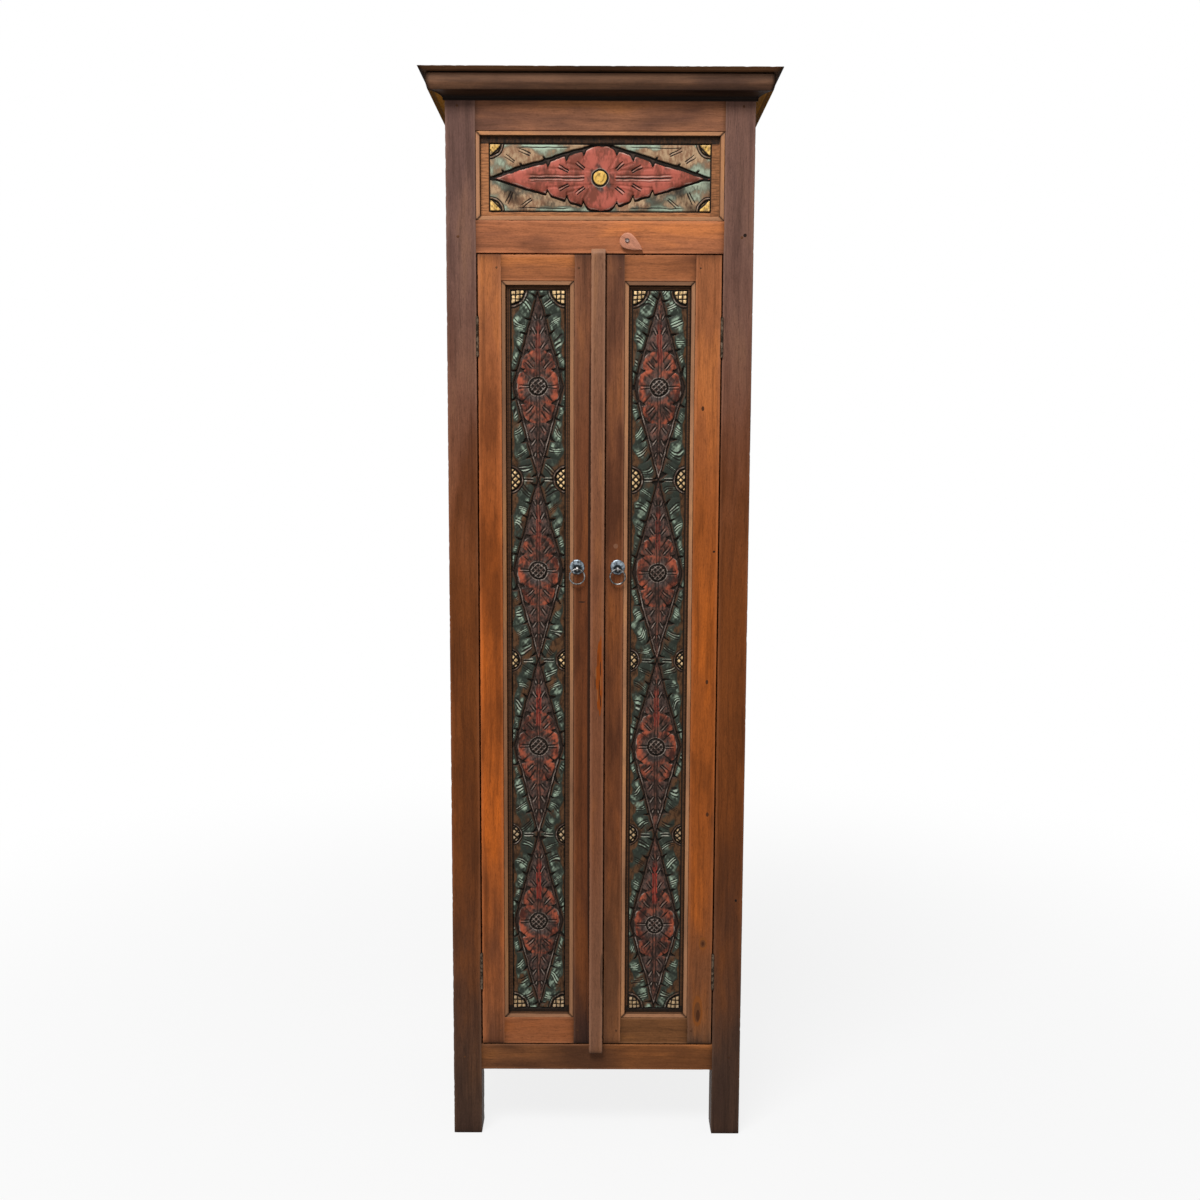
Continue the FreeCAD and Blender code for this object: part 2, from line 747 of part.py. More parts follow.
def hinge_leaf(side, level, away):
    """One leaf with its share of the knuckles, cut clear of the other leaf's knuckles."""
    axis = side * hinge_x
    half = hinge_length / 2
    near, far = leaf_faces()
    root = (pin_radius + pin_clearance + barrel_radius) / 2
    plate = box(axis + side * away * near, axis + side * away * far, root - pin_proud,
                leaf_reach - pin_proud, level - half, level + half)
    pitch = hinge_length / hinge_knuckles
    own = 0 if away > 0 else 1
    up = Vector(0, 0, 1)
    knuckles = []
    clear = []
    for i in range(hinge_knuckles):
        z0 = level - half + i * pitch
        low_gap = knuckle_gap / 2 if i > 0 else 0
        high_gap = knuckle_gap / 2 if i < hinge_knuckles - 1 else 0
        if i % 2 == own:
            length = pitch - low_gap - high_gap
            knuckles.append(rod(barrel_radius, length, axis, -pin_proud, z0 + low_gap, up))
        else:
            length = pitch + low_gap + high_gap
            clear.append(rod(barrel_radius + knuckle_gap, length, axis, -pin_proud, z0 - low_gap, up))
    bore = rod(pin_radius + pin_clearance, hinge_length, axis, -pin_proud, level - half, up)
    body = cut_all(plate, clear).multiFuse(knuckles).removeSplitter()
    return cut_all(body, [bore] + leaf_screws(side, level, away, screw_clearance))


def hinge_pin(side, level):
    """Pin through the barrel with a small head at each end."""
    half = hinge_length / 2
    gap = knuckle_gap / 2
    outline = [(0, -half - gap - pin_head_height), (pin_head_radius, -half - gap - pin_head_height),
               (pin_head_radius, -half - gap), (pin_radius, -half - gap), (pin_radius, half + gap),
               (pin_head_radius, half + gap), (pin_head_radius, half + gap + pin_head_height),
               (0, half + gap + pin_head_height)]
    return turned(outline, side * hinge_x, -pin_proud, level, Vector(0, 0, 1))


def hinges():
    """Leaves, pins and screws of the four butt hinges, grouped by what they are fixed to."""
    carcass_screws = []
    for door in (left, right):
        side = door.side
        door_screws = []
        save(door.word + "_hinge_frame_leaves", *[hinge_leaf(side, level, 1) for level in hinge_levels])
        save(door.word + "_hinge_door_leaves", *[hinge_leaf(side, level, -1) for level in hinge_levels])
        save(door.word + "_hinge_pins", *[hinge_pin(side, level) for level in hinge_levels])
        for level in hinge_levels:
            carcass_screws += leaf_screws(side, level, 1, 0)
            door_screws += leaf_screws(side, level, -1, 0)
        save(door.word + "_door_hinge_screws", *door_screws)
    save("frame_hinge_screws", *carcass_screws)


# Ring pulls

def pull_x(door):
    """Where a ring pull stands across the front, clear of the panel's groove."""
    if door.side < 0:
        return door.opening_inner + door_groove_depth + pull_edge_wall + eye_shank_radius
    return door.opening_inner - right_pull_inset


def eye_shank(x, grow):
    """Straight shank from the eye through the stile."""
    return rod(eye_shank_radius + grow, door_thickness + eye_standoff + grow, x, -eye_standoff,
               pull_height, Vector(0, 1, 0))


def pull_plate(x):
    """Round domed backplate, its section turned about its centre, with a hole for the eye's shank."""
    rise = pull_plate_thickness - pull_plate_edge
    sphere_radius = (pull_plate_radius ** 2 + rise ** 2) / (2 * rise)
    half_radius = pull_plate_radius / 2
    dip = sphere_radius - math.sqrt(sphere_radius ** 2 - half_radius ** 2)
    level = pull_height + pull_plate_rise
    centre = Vector(x, front, level)
    rim_back = Vector(x + pull_plate_radius, front, level)
    rim_front = Vector(x + pull_plate_radius, front - pull_plate_edge, level)
    shoulder = Vector(x + half_radius, front - pull_plate_thickness + dip, level)
    crown = Vector(x, front - pull_plate_thickness, level)
    edges = [
        Part.LineSegment(centre, rim_back).toShape(),
        Part.LineSegment(rim_back, rim_front).toShape(),
        Part.Arc(rim_front, shoulder, crown).toShape(),
        Part.LineSegment(crown, centre).toShape(),
    ]
    plate = Part.Face(Part.Wire(edges)).revolve(centre, Vector(0, 1, 0), 360)
    return plate.cut(eye_shank(x, screw_clearance))


def pull_eye(x):
    """Eye whose hole lies along X, on a shank that is riveted over behind the stile."""
    half = eye_thickness / 2
    along = Vector(1, 0, 0)
    loop = rod(eye_outer_radius, eye_thickness, x - half, -eye_standoff, pull_height, along)
    rivet = rod(eye_rivet_radius, eye_rivet_height, x, door_thickness, pull_height, Vector(0, 1, 0))
    body = loop.multiFuse([eye_shank(x, 0), rivet]).removeSplitter()
    hole = rod(eye_hole_radius, eye_thickness, x - half, -eye_standoff, pull_height, along)
    return body.cut(hole)


def pull_ring(x):
    """Ring that hangs in the eye, its top on the hole's axis."""
    centre = Vector(x, front - eye_standoff, pull_height - ring_radius)
    return Part.makeTorus(ring_radius, ring_wire_radius, centre, Vector(0, 1, 0))


def ring_pulls():
    """Plate, eye and ring of both doors."""
    for door in (left, right):
        x = pull_x(door)
        save(door.word + "_pull_plate", pull_plate(x))
        save(door.word + "_pull_eye", pull_eye(x))
        save(door.word + "_pull_ring", pull_ring(x))


# Turn button

def button_x():
    """Where the button stands across the front: just past the inner edge of the right panel opening."""
    return right.opening_inner + button_past_edge


def button_screw(grow):
    """Round-headed screw on which the button turns."""
    back = -button_gap
    face = back - button_thickness - button_gap / 2
    reach = button_screw_depth - face
    outline = [(0, -button_screw_head_height), (button_screw_crown_radius, -button_screw_head_height),
               (button_screw_head_radius, 0), (button_screw_radius + grow, 0),
               (button_screw_radius + grow, reach), (0, reach)]
    return turned(outline, button_x(), face, door_top + button_rise, Vector(0, 1, 0))


def button_outline(share, y):
    """Closed leaf outline about the screw, drawn at a share of its full size at one depth."""
    head = Vector(0, y, share * button_head_length)
    tip = Vector(0, y, -share * button_tip_length)
    edges = []
    for side in (1, -1):
        wide = Vector(side * share * button_half_width, y, 0)
        shoulder = Vector(wide.x * button_shoulder_share, y, head.z * button_shoulder_share)
        flank = Vector(wide.x * button_flank_share, y, tip.z / 2)
        pair = [Part.Arc(head, shoulder, wide).toShape(), Part.Arc(wide, flank, tip).toShape()]
        edges += pair if side > 0 else pair[::-1]
    return Part.Wire(edges)


def turn_button():
    """Leaf-shaped button: round head, bulged flanks and a point, turned aside from the door."""
    level = door_top + button_rise
    back = -button_gap
    face = back - button_thickness
    inner_share = 1 - button_bevel / button_head_length
    outlines = [
        button_outline(1, back),
        button_outline(1, face + button_bevel),
        button_outline(inner_share, face),
    ]
    body = Part.makeLoft(outlines, True, True)
    body.rotate(Vector(0, 0, 0), Vector(0, 1, 0), -button_rest_angle)
    body.translate(Vector(button_x(), front, level))
    bore = rod(button_screw_radius + pin_clearance, button_thickness + 2 * button_gap, button_x(),
               -button_thickness - 2 * button_gap, level, Vector(0, 1, 0))
    save("turn_button_leaf", body.cut(bore))
    save("turn_button_screw", button_screw(0))


# Shelves

def board_with_notches(z0, z1, y0, y1, half):
    """Board inside the frame, notched round the four posts."""
    body = box(-half, half, y0, y1, z0, z1)
    x = opening_half - shelf_clearance
    notches = []
    for side in (-1, 1):
        notches.append(box(side * x, side * half_width, 0, post_depth + shelf_clearance, z0, z1))
        notches.append(box(side * x, side * half_width, body_depth - post_depth - shelf_clearance,
                           body_depth, z0, z1))
    return cut_all(body, notches)


def shelves():
    """Bottom board and shelves, each on a pair of cleats fixed to the posts."""
    y0 = door_thickness + shelf_front_gap
    y1 = rear_rail_front - shelf_clearance
    cleats = []
    underside = bottom_rail_top - bottom_board_thickness
    save("bottom_board", board_with_notches(underside, bottom_rail_top, front_rail_back + joint_clearance,
                                            y1, side_inner - shelf_clearance))
    undersides = [underside]
    for i in range(shelf_count):
        top = bottom_rail_top + (i + 1) * shelf_pitch
        undersides.append(top - shelf_thickness)
        half = side_panel_range()[0] - shelf_clearance
        save("shelf_%d" % (i + 1), board_with_notches(top - shelf_thickness, top, y0, y1, half))
    for underside in undersides:
        for side in (-1, 1):
            cleats.append(box(side * opening_half, side * (opening_half - cleat_width), y0, y1,
                              underside - cleat_height, underside))
    save("shelf_cleats", *cleats)


def main():
    os.makedirs("parts", exist_ok=True)
    for side, word in ((-1, "left"), (1, "right")):
        save("front_%s_post" % word, post(side, False))
        save("rear_%s_post" % word, post(side, True))
        side_rails(side, word)
    front_rails()
    rear_rails()
    plain_panels()
    pegs_of_frame()
    cornice()
    cap()
    frieze()
    for door in (left, right):
        build_door(door)
    cover_strip()
    hinges()
    ring_pulls()
    turn_button()
    shelves()


main()
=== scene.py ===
import math

import bpy
import numpy as np
from mathutils import Matrix, Vector


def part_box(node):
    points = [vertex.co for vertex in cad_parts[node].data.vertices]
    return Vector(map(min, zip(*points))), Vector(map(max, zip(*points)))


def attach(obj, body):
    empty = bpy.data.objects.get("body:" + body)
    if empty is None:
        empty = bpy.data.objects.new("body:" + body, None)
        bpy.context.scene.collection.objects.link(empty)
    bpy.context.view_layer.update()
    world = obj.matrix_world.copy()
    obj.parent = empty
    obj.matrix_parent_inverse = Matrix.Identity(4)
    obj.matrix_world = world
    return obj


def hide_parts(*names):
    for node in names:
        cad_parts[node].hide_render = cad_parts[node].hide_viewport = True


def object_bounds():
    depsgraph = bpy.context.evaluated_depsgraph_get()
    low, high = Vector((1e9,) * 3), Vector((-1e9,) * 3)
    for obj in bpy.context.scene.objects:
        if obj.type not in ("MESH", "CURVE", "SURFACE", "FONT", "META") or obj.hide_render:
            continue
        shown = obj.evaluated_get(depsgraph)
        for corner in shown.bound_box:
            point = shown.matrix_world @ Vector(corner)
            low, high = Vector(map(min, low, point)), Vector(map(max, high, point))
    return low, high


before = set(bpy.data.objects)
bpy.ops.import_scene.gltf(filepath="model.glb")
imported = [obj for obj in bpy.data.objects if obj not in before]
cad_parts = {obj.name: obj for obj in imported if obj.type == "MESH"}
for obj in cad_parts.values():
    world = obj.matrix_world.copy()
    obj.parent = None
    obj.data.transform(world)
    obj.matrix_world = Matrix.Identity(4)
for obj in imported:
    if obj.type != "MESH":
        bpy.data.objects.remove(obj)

bl_info = {
    "name": "Carved Teak Cabinet",
    "version": (1, 0, 0),
    "blender": (4, 5, 0),
    "location": "3D View > Sidebar > Cabinet",
    "description": "Boards, carving, fittings and stage of a tall carved cabinet, built around its solids",
    "category": "Object",
}

cad_low, cad_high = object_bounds()
mm = 0.001
# How far a board's hidden ends reach into its joints
lap = 2 * mm


# Shader arithmetic

class Value:
    """A shader socket that joins in Python arithmetic: each operator adds one Math node."""

    def __init__(self, nodes, socket):
        self.nodes = nodes
        self.socket = socket

    def maths(self, operation, first, second):
        return self.nodes.node("ShaderNodeMath", {"operation": operation}, {0: first, 1: second})

    def out(self, index):
        return Value(self.nodes, self.socket.node.outputs[index])

    def __add__(self, other):
        return self.maths("ADD", self, other)

    def __sub__(self, other):
        return self.maths("SUBTRACT", self, other)

    def __rsub__(self, other):
        return self.maths("SUBTRACT", other, self)

    def __mul__(self, other):
        return self.maths("MULTIPLY", self, other)

    __radd__ = __add__
    __rmul__ = __mul__


class Nodes:
    """A node tree. node() makes every node, and the other methods are short forms of it."""

    def __init__(self, tree):
        self.tree = tree

    def feed(self, socket, value):
        if isinstance(value, Value):
            self.tree.links.new(value.socket, socket)
        elif socket.type == "RGBA":
            socket.default_value = tuple(value)[:3] + (1.0,)
        else:
            socket.default_value = value

    def node(self, kind, settings, sockets, output=0):
        made = self.tree.nodes.new(kind)
        for key, value in settings.items():
            setattr(made, key, value)
        for key, value in sockets.items():
            self.feed(made.inputs[key], value)
        return Value(self, made.outputs[output])

    def attribute(self, name):
        return self.node("ShaderNodeAttribute", {"attribute_name": name}, {}, 1)

    def parts(self, vector):
        first = self.node("ShaderNodeSeparateXYZ", {}, {0: vector})
        return first, first.out(1), first.out(2)

    def place(self):
        return self.node("ShaderNodeTexCoord", {}, {}, 3)

    def vector(self, operation, first, second):
        return self.node("ShaderNodeVectorMath", {"operation": operation}, {0: first, 1: second})

    def scaled(self, vector, amount):
        return self.node("ShaderNodeVectorMath", {"operation": "SCALE"}, {0: vector, "Scale": amount})

    def noise(self, vector, stretch, detail=2.0, roughness=0.5):
        spread = self.vector("MULTIPLY", vector, stretch)
        return self.node("ShaderNodeTexNoise", {}, {"Vector": spread, "Scale": 1.0, "Detail": detail,
                                                    "Roughness": roughness})

    def ease(self, value, low, high):
        return self.node("ShaderNodeMapRange", {"interpolation_type": "SMOOTHSTEP"},
                         {0: value, 1: low, 2: high})

    def mix(self, first, second, factor):
        return self.node("ShaderNodeMix", {"data_type": "RGBA"}, {0: factor, 6: first, 7: second}, 2)

    def spot(self, across, up, x, z, wide, tall):
        """One on a place and zero past its rim, an ellipse in the plane of the front."""
        dx = (across - x) * (1 / wide)
        dz = (up - z) * (1 / tall)
        return 1 - self.ease(dx * dx + dz * dz, 0.1, 1.0)

    def seen(self):
        """One for the rays that show a surface: from the camera, a reflection or something clear."""
        path = self.node("ShaderNodeLightPath", {}, {})
        glossy = path.out(3)
        clear = path.out(6)
        return path.maths("MAXIMUM", path.maths("MAXIMUM", path, glossy), clear)


class Finish(Nodes):
    """One material and its shader."""

    def __init__(self, name, constants):
        self.material = bpy.data.materials.new(name)
        self.material.use_nodes = True
        super().__init__(self.material.node_tree)
        self.shader = self.tree.nodes["Principled BSDF"]
        for socket, value in constants.items():
            self.shader.inputs[socket].default_value = value

    def finish(self, colour, roughness, height, strength, distance):
        self.feed(self.shader.inputs["Base Color"], colour)
        self.feed(self.shader.inputs["Roughness"], roughness)
        bump = self.node("ShaderNodeBump", {}, {"Strength": strength, "Distance": distance,
                                                "Height": height})
        self.feed(self.shader.inputs["Normal"], bump)
        return self.material


# Mesh building

def flip_if_inside_out(points, quads, fans):
    """The faces, turned over when the signed volume of the closed shape is negative."""
    parts = [quads[:, (0, 1, 2)], quads[:, (0, 2, 3)]]
    for fan in fans:
        fan = np.asarray(fan)
        first = np.full(len(fan) - 2, fan[0])
        parts.append(np.stack([first, fan[1:-1], fan[2:]], axis=1))
    corners = points[np.concatenate(parts)]
    middle = points.mean(axis=0)
    corners = corners - middle
    volume = np.einsum("ij,ij->i", np.cross(corners[:, 0], corners[:, 1]), corners[:, 2]).sum()
    if volume < 0:
        return quads[:, ::-1], [list(fan)[::-1] for fan in fans]
    return quads, fans


def add_piece(name, shape, body, slot, finish, node):
    """Puts a shape into a mesh at the origin, with its point attributes, gives it its body, and hides the
    CAD node it stands for."""
    points, quads, fans, attributes = shape
    quads, fans = flip_if_inside_out(points, quads, fans)
    mesh = bpy.data.meshes.new(name)
    mesh.from_pydata(points, [], quads.tolist() + [list(map(int, fan)) for fan in fans])
    smooth = np.ones(len(mesh.polygons), bool)
    smooth[len(quads):] = False
    mesh.polygons.foreach_set("use_smooth", smooth)
    for key, values in attributes.items():
        kind, field = {1: ("FLOAT", "value"), 3: ("FLOAT_VECTOR", "vector")}[values.shape[1]]
        layer = mesh.attributes.new(key, kind, "POINT")
        layer.data.foreach_set(field, values.astype(np.float32).ravel())
    mesh.materials.append(finish)
    mesh.update()
    piece = bpy.data.objects.new(name, mesh)
    bpy.context.scene.collection.objects.link(piece)
    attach(piece, body)
    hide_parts(node)
    return piece


def ring_quads(rows, columns):
    """Quads of a grid whose columns close into a ring."""
    row = np.arange(rows - 1)[:, None] * columns
    here = np.arange(columns)[None, :]
    after = (here + 1) % columns
    return np.stack([row + here, row + after, row + columns + after, row + columns + here],
                    axis=-1).reshape(-1, 4)


def joined(shapes):
    """Several closed shapes as one, their points and faces counted on."""
    count = 0
    quads = []
    fans = []
    for points, quad, fan, _ in shapes:
        quad, fan = flip_if_inside_out(points, quad, fan)
        quads.append(quad + count)
        fans += [[int(corner) + count for corner in face] for face in fan]
        count += len(points)
    keys = shapes[0][3].keys()
    attributes = {key: np.concatenate([shape[3][key] for shape in shapes]) for key in keys}
    return np.concatenate([shape[0] for shape in shapes]), np.concatenate(quads), fans, attributes


def tube(grid, grain, rub):
    """A closed shape from a grid whose columns close into rings, with both end rings filled."""
    rows, columns = grid.shape[:2]
    first = np.arange(columns)
    return (grid.reshape(-1, 3), ring_quads(rows, columns), [first, first + (rows - 1) * columns],
            {"grain": grain.reshape(-1, 3), "rub": rub.reshape(-1, 3)})


def waves(rng, *fields):
    """Soft seeded noise from minus one to one: a mean of sine waves of each (coordinates, length) pair."""
    count = 3
    total = 0
    for coordinates, length in fields:
        for _ in range(count):
            turn = rng.uniform(0.5, 1.4, len(coordinates)) * rng.choice((-1, 1), len(coordinates))
            phase = rng.uniform(0, 2 * math.pi)
            angle = sum(t * c for t, c in zip(turn, coordinates)) * (2 * math.pi / length)
            total = total + np.sin(angle + phase)
    return total / (count * len(fields))


def rounded_outline(width, depth, edge, step):
    """Rectangle with quarter-round corners, anticlockwise: points, outward normals, and how near each
    point is to a corner, one on the round and falling off over four millimetres of the flat."""
    guard = 0.6 * edge
    fade = 4 * mm
    points = []
    normals = []
    near = []
    corners = ((edge, edge), (width - edge, edge), (width - edge, depth - edge), (edge, depth - edge))
    for side in range(4):
        start = np.array(corners[side])
        end = np.array(corners[(side + 1) % 4])
        length = np.linalg.norm(end - start)
        turn = side * math.pi / 2 - math.pi / 2
        normal = np.array([math.cos(turn), math.sin(turn)])
        count = max(2, round(length / step))
        run = np.concatenate([[0, guard], np.linspace(guard, length - guard, count + 1)[1:-1],
                              [length - guard, length]])
        flat = start + normal * edge + (end - start) / length * run[:, None]
        bend = turn + np.array([0.25, 0.5, 0.75]) * math.pi / 2
        round_normals = np.stack([np.cos(bend), np.sin(bend)], axis=1)
        points += [flat, end + round_normals * edge]
        normals += [np.tile(normal, (len(run), 1)), round_normals]
        near += [np.exp(-np.minimum(run, length - run) / fade), np.ones(3)]
    return np.concatenate(points), np.concatenate(normals), np.concatenate(near)


def board(seed, low, high, along, edge=1.2 * mm, wobble=0.25 * mm, chip=0.5 * mm, pitch=6 * mm):
    """A sawn board: a rounded rectangle carried along the grain, its ends rounded in three rings, drawn in
    from its box by soft waves and, along its corners, by small chips."""
    rng = np.random.default_rng(seed)
    low = np.array(low, float)
    high = np.array(high, float)
    across, over = [axis for axis in range(3) if axis != along]
    size = high - low
    outline_step = 7 * mm
    outline, normals, near = rounded_outline(size[across], size[over], edge, outline_step)
    length = size[along]
    count = max(4, math.ceil(length / pitch))
    run = np.concatenate([[0, 0.3 * edge], np.linspace(edge, length - edge, count + 1),
                          [length - 0.3 * edge, length]])
    inset = np.zeros(len(run))
    inset[[0, -1]] = 0.85 * edge
    inset[[1, -2]] = 0.3 * edge
    along_grid, across_grid = np.meshgrid(run, outline[:, 0], indexing="ij")
    over_grid = np.broadcast_to(outline[:, 1], along_grid.shape)
    long_wave = 0.35
    short_wave = 0.11
    soft = waves(rng, ((along_grid, across_grid, over_grid), long_wave),
                 ((along_grid, across_grid), short_wave))
    chipped = 0.28
    notches = np.clip(rng.random((len(run), 4)) - (1 - chipped), 0, 1) / chipped
    corner = np.minimum(np.arange(len(outline)) * 4 // len(outline), 3)
    inward = inset[:, None] + wobble * (0.5 + 0.5 * soft) + chip * notches[:, corner] * near ** 2
    points = np.empty(along_grid.shape + (3,))
    points[..., along] = low[along] + along_grid
    points[..., across] = low[across] + outline[:, 0] - normals[:, 0] * inward
    points[..., over] = low[over] + outline[:, 1] - normals[:, 1] * inward
    end_fade = 6 * mm
    ends = np.exp(-np.minimum(along_grid, length - along_grid) / end_fade)
    tone = np.full(along_grid.shape, rng.random())
    grain = np.stack([along_grid, across_grid, over_grid], axis=-1) + rng.uniform(0, 10, 3)
    rub = np.stack([np.broadcast_to(near, along_grid.shape), ends, tone], axis=-1)
    return tube(points, grain, rub)


def softened(corners, radius):
    """A closed outline with each corner replaced by five points: two guards, two cuts and a middle."""
    corners = np.array(corners, float)
    back = np.roll(corners, 1, axis=0) - corners
    ahead = np.roll(corners, -1, axis=0) - corners
    back_length = np.linalg.norm(back, axis=1, keepdims=True)
    ahead_length = np.linalg.norm(ahead, axis=1, keepdims=True)
    largest = 0.28 * np.minimum(back_length, ahead_length)
    cut = np.minimum(radius, largest)
    guard = 1.6
    before = corners + back / back_length * cut
    after = corners + ahead / ahead_length * cut
    rows = [corners + back / back_length * cut * guard, before, (before + 2 * corners + after) / 4, after,
            corners + ahead / ahead_length * cut * guard]
    return np.stack(rows, axis=1).reshape(-1, 2)


def mitred(seed, profile, wear_and_highlight, dirt_and_shade, origin, axes, length, shifts, pitch=6 * mm, wobble=0.15 * mm):
    """A moulded length: a closed profile of (out, up) points carried along a line, each end cut at a slant
    that moves a point by its distance out times the end's shift. A paler and a darker share are given per
    point:
    the paler one is rubbing on mouldings and a painted highlight on the cornice, the darker one painted
    shade."""
    rng = np.random.default_rng(seed)
    along, out, up = [np.array(axis, float) for axis in axes]
    share = np.linspace(0, 1, max(3, math.ceil(length / pitch)))
    begin = shifts[0] * profile[:, 0]
    stop = length + shifts[1] * profile[:, 0]
    run = begin + share[:, None] * (stop - begin)
    wave = 0.2
    end_fade = 4 * mm
    soft = waves(rng, ((run, np.broadcast_to(profile[:, 0], run.shape)), wave))
    inward = wobble * (0.5 + 0.5 * soft)
    out_grid = profile[:, 0] - inward
    up_grid = profile[:, 1] - inward
    points = (np.array(origin) + run[..., None] * along + out_grid[..., None] * out
              + up_grid[..., None] * up)
    grain = np.stack([run, out_grid, up_grid], axis=-1) + rng.uniform(0, 10, 3)
    ends = np.exp(-np.minimum(run - begin, stop - run) / end_fade)
    # The end channel holds soiling at the ends and the darker share, painted shade
    rub = np.stack([np.broadcast_to(wear_and_highlight, run.shape), np.maximum(ends, dirt_and_shade),
                    np.full(run.shape, rng.random())], axis=-1)
    return tube(points, grain, rub)


def turned(outline, centre, axis, count, hammer=0.0, seed=1):
    """A turned shape: (radius, reach) points swept round an axis through the centre, both ends on it closed
    by fans, with soft waves of hammer marks on its radius."""
    rng = np.random.default_rng(seed)
    outline = np.array(outline, float)
    angle = np.linspace(0, 2 * math.pi, count, endpoint=False)
    radius = outline[:, :1] * (1 + hammer * waves(rng, ((np.cos(angle) * 3, np.sin(angle) * 3), 2.4)))
    axis = np.array(axis, float)
    side = np.roll(axis, 1)
    other = np.cross(axis, side)
    points = (np.array(centre) + radius[..., None] * (np.cos(angle)[:, None] * side
              + np.sin(angle)[:, None] * other) + outline[:, 1][:, None, None] * axis)
    rub = np.zeros_like(points)
    rub[..., 1] = outline[:, :1] / outline[:, 0].max()
    return tube(points, points + rng.uniform(0, 10, 3), rub)


# Settings

def colour(name, description, value):
    return bpy.props.FloatVectorProperty(name=name, description=description, default=value, size=3,
                                         subtype="COLOR", min=0, max=1)


def distance(name, description, value):
    return bpy.props.FloatProperty(name=name, description=description, default=value, unit="LENGTH", min=0)


class StageSettings(bpy.types.PropertyGroup):
    """Camera, floor and light."""
    place: bpy.props.FloatVectorProperty(name="Camera place", description="Where the camera stands",
                                         default=(0.0025, -2.376, 1.223), subtype="TRANSLATION")
    tilt: bpy.props.FloatProperty(name="Tilt", description="How far the camera looks down",
                                  default=math.radians(6.676), subtype="ANGLE")
    roll: bpy.props.FloatProperty(name="Roll", description="How far the camera leans to one side",
                                  default=math.radians(0.227), subtype="ANGLE")
    lens: bpy.props.FloatProperty(name="Lens", description="Focal length in millimetres on a 36 mm sensor",
                                  default=39.17, min=1)
    key: bpy.props.FloatProperty(name="Key light", description="Power of the large light above the front",
                                 default=230.0, subtype="POWER", min=0)
    fill: bpy.props.FloatProperty(name="Fill", description="Strength of the light from all around",
                                  default=0.4, min=0)
    floor: colour("Floor", "Colour of the floor", (0.6, 0.6, 0.6))


class TeakSettings(bpy.types.PropertyGroup):
    """Colours of the old teak boards."""
    post: colour("Posts", "Red-brown posts at mid height", (0.148, 0.041, 0.009))
    # Painted sheen: the greyer post tops stand for reflected light over the upper posts
    post_top: colour("Post tops", "Bloomed tops of the posts", (0.136, 0.068, 0.05))
    # Darker post feet: partly the posts' own tone, partly painted shade low down
    post_foot: colour("Post feet", "Dull feet of the posts", (0.062, 0.031, 0.019))
    top_rail: colour("Top rail", "Rail under the cornice", (0.24, 0.097, 0.048))
    mid_rail: colour("Mid rail", "Rail over the doors", (0.32, 0.11, 0.046))
    bottom_rail: colour("Bottom rail", "Rail under the doors", (0.16, 0.06, 0.022))
    bottom_rail_right: colour("Bottom rail, right", "Its lighter right half", (0.3, 0.102, 0.028))
    stile: colour("Left door", "Orange stiles and rails of the left door", (0.31, 0.074, 0.012))
    right_stile: colour("Right door", "Duller stiles and rails of the right door", (0.272, 0.069, 0.012))
    # Painted sheen: the duller stile tops stand for reflected light; the left door's stiles also use this
    # colour at their foot
    stile_top: colour("Stile tops", "Duller ends of the orange stiles", (0.26, 0.09, 0.035))
    stile_foot: colour("Right stile foot", "Darker foot of the right hinge stile", (0.095, 0.052, 0.03))
    low_rail: colour("Right door's bottom rail", "Its dark wood", (0.155, 0.062, 0.022))
    left_meeting: colour("Left meeting stile", "Dark stile of the left door", (0.125, 0.0375, 0.0128))
    meeting: colour("Right meeting stile", "Dark stile of the right door", (0.142, 0.045, 0.016))
    # Painted sheen: the duller meeting stile tops stand for reflected light
    meeting_top_sheen: colour("Meeting stile tops", "Their duller tops", (0.155, 0.06, 0.03))
    left_foot: colour("Left meeting foot", "Dark foot of the left meeting stile", (0.026, 0.014, 0.011))
    right_foot: colour("Right meeting foot", "Light foot of the right meeting stile", (0.23, 0.09, 0.034))
    moulding: colour("Mouldings", "Pale worn mouldings round the panels", (0.42, 0.195, 0.095))
    strip: colour("Strip", "Cover strip over the meeting line", (0.157, 0.057, 0.026))
    # Painted sheen on the strip's upper part, standing for reflected light; the same colour also serves its
    # foot
    strip_top_sheen: colour("Strip ends", "Its greyer ends", (0.178, 0.083, 0.047))
    cornice: colour("Cornice", "Front length of the cove under the cap board", (0.118, 0.054, 0.028))
    # Painted light: the golden side lengths stand for light reflected onto their cove
    side_cornice: colour("Side cornice", "Golden side lengths of the cove", (0.2, 0.08, 0.004))
    cap: colour("Cap", "Cap board", (0.09, 0.038, 0.015))
    panel: colour("Panels", "Plain boards at the sides, back and inside", (0.17, 0.062, 0.024))
    button: colour("Button", "Pinkish wood of the turn button", (0.4, 0.17, 0.105))
    peg: colour("Pegs", "Darker end grain of the pegs", (0.12, 0.048, 0.02))


class CarvingSettings(bpy.types.PropertyGroup):
    """Sizes and paint of the carved panels."""
    cell: distance("Cell", "Pitch of the carved surface's points", 1.2 * mm)
    red: colour("Red", "Brick-red paint of the flowers", (0.34, 0.078, 0.038))
    leaf: colour("Leaf", "Dark stain of the flower leaves", (0.05, 0.028, 0.021))
    teal: colour("Teal", "Weathered green of the leaf sprays", (0.125, 0.155, 0.115))
    gold: colour("Gold", "Gold of the rosettes", (0.8, 0.53, 0.23))
    frieze_gold: colour("Frieze gold", "Deeper gold of the frieze", (0.6, 0.36, 0.08))
    ground: colour("Ground", "Bare wood between the carving", (0.09, 0.042, 0.018))
    # Colour laid into grooves and hollows: soiling together with painted shade
    dirt_and_shade: colour("Dirt", "Black in the grooves", (0.008, 0.005, 0.003))


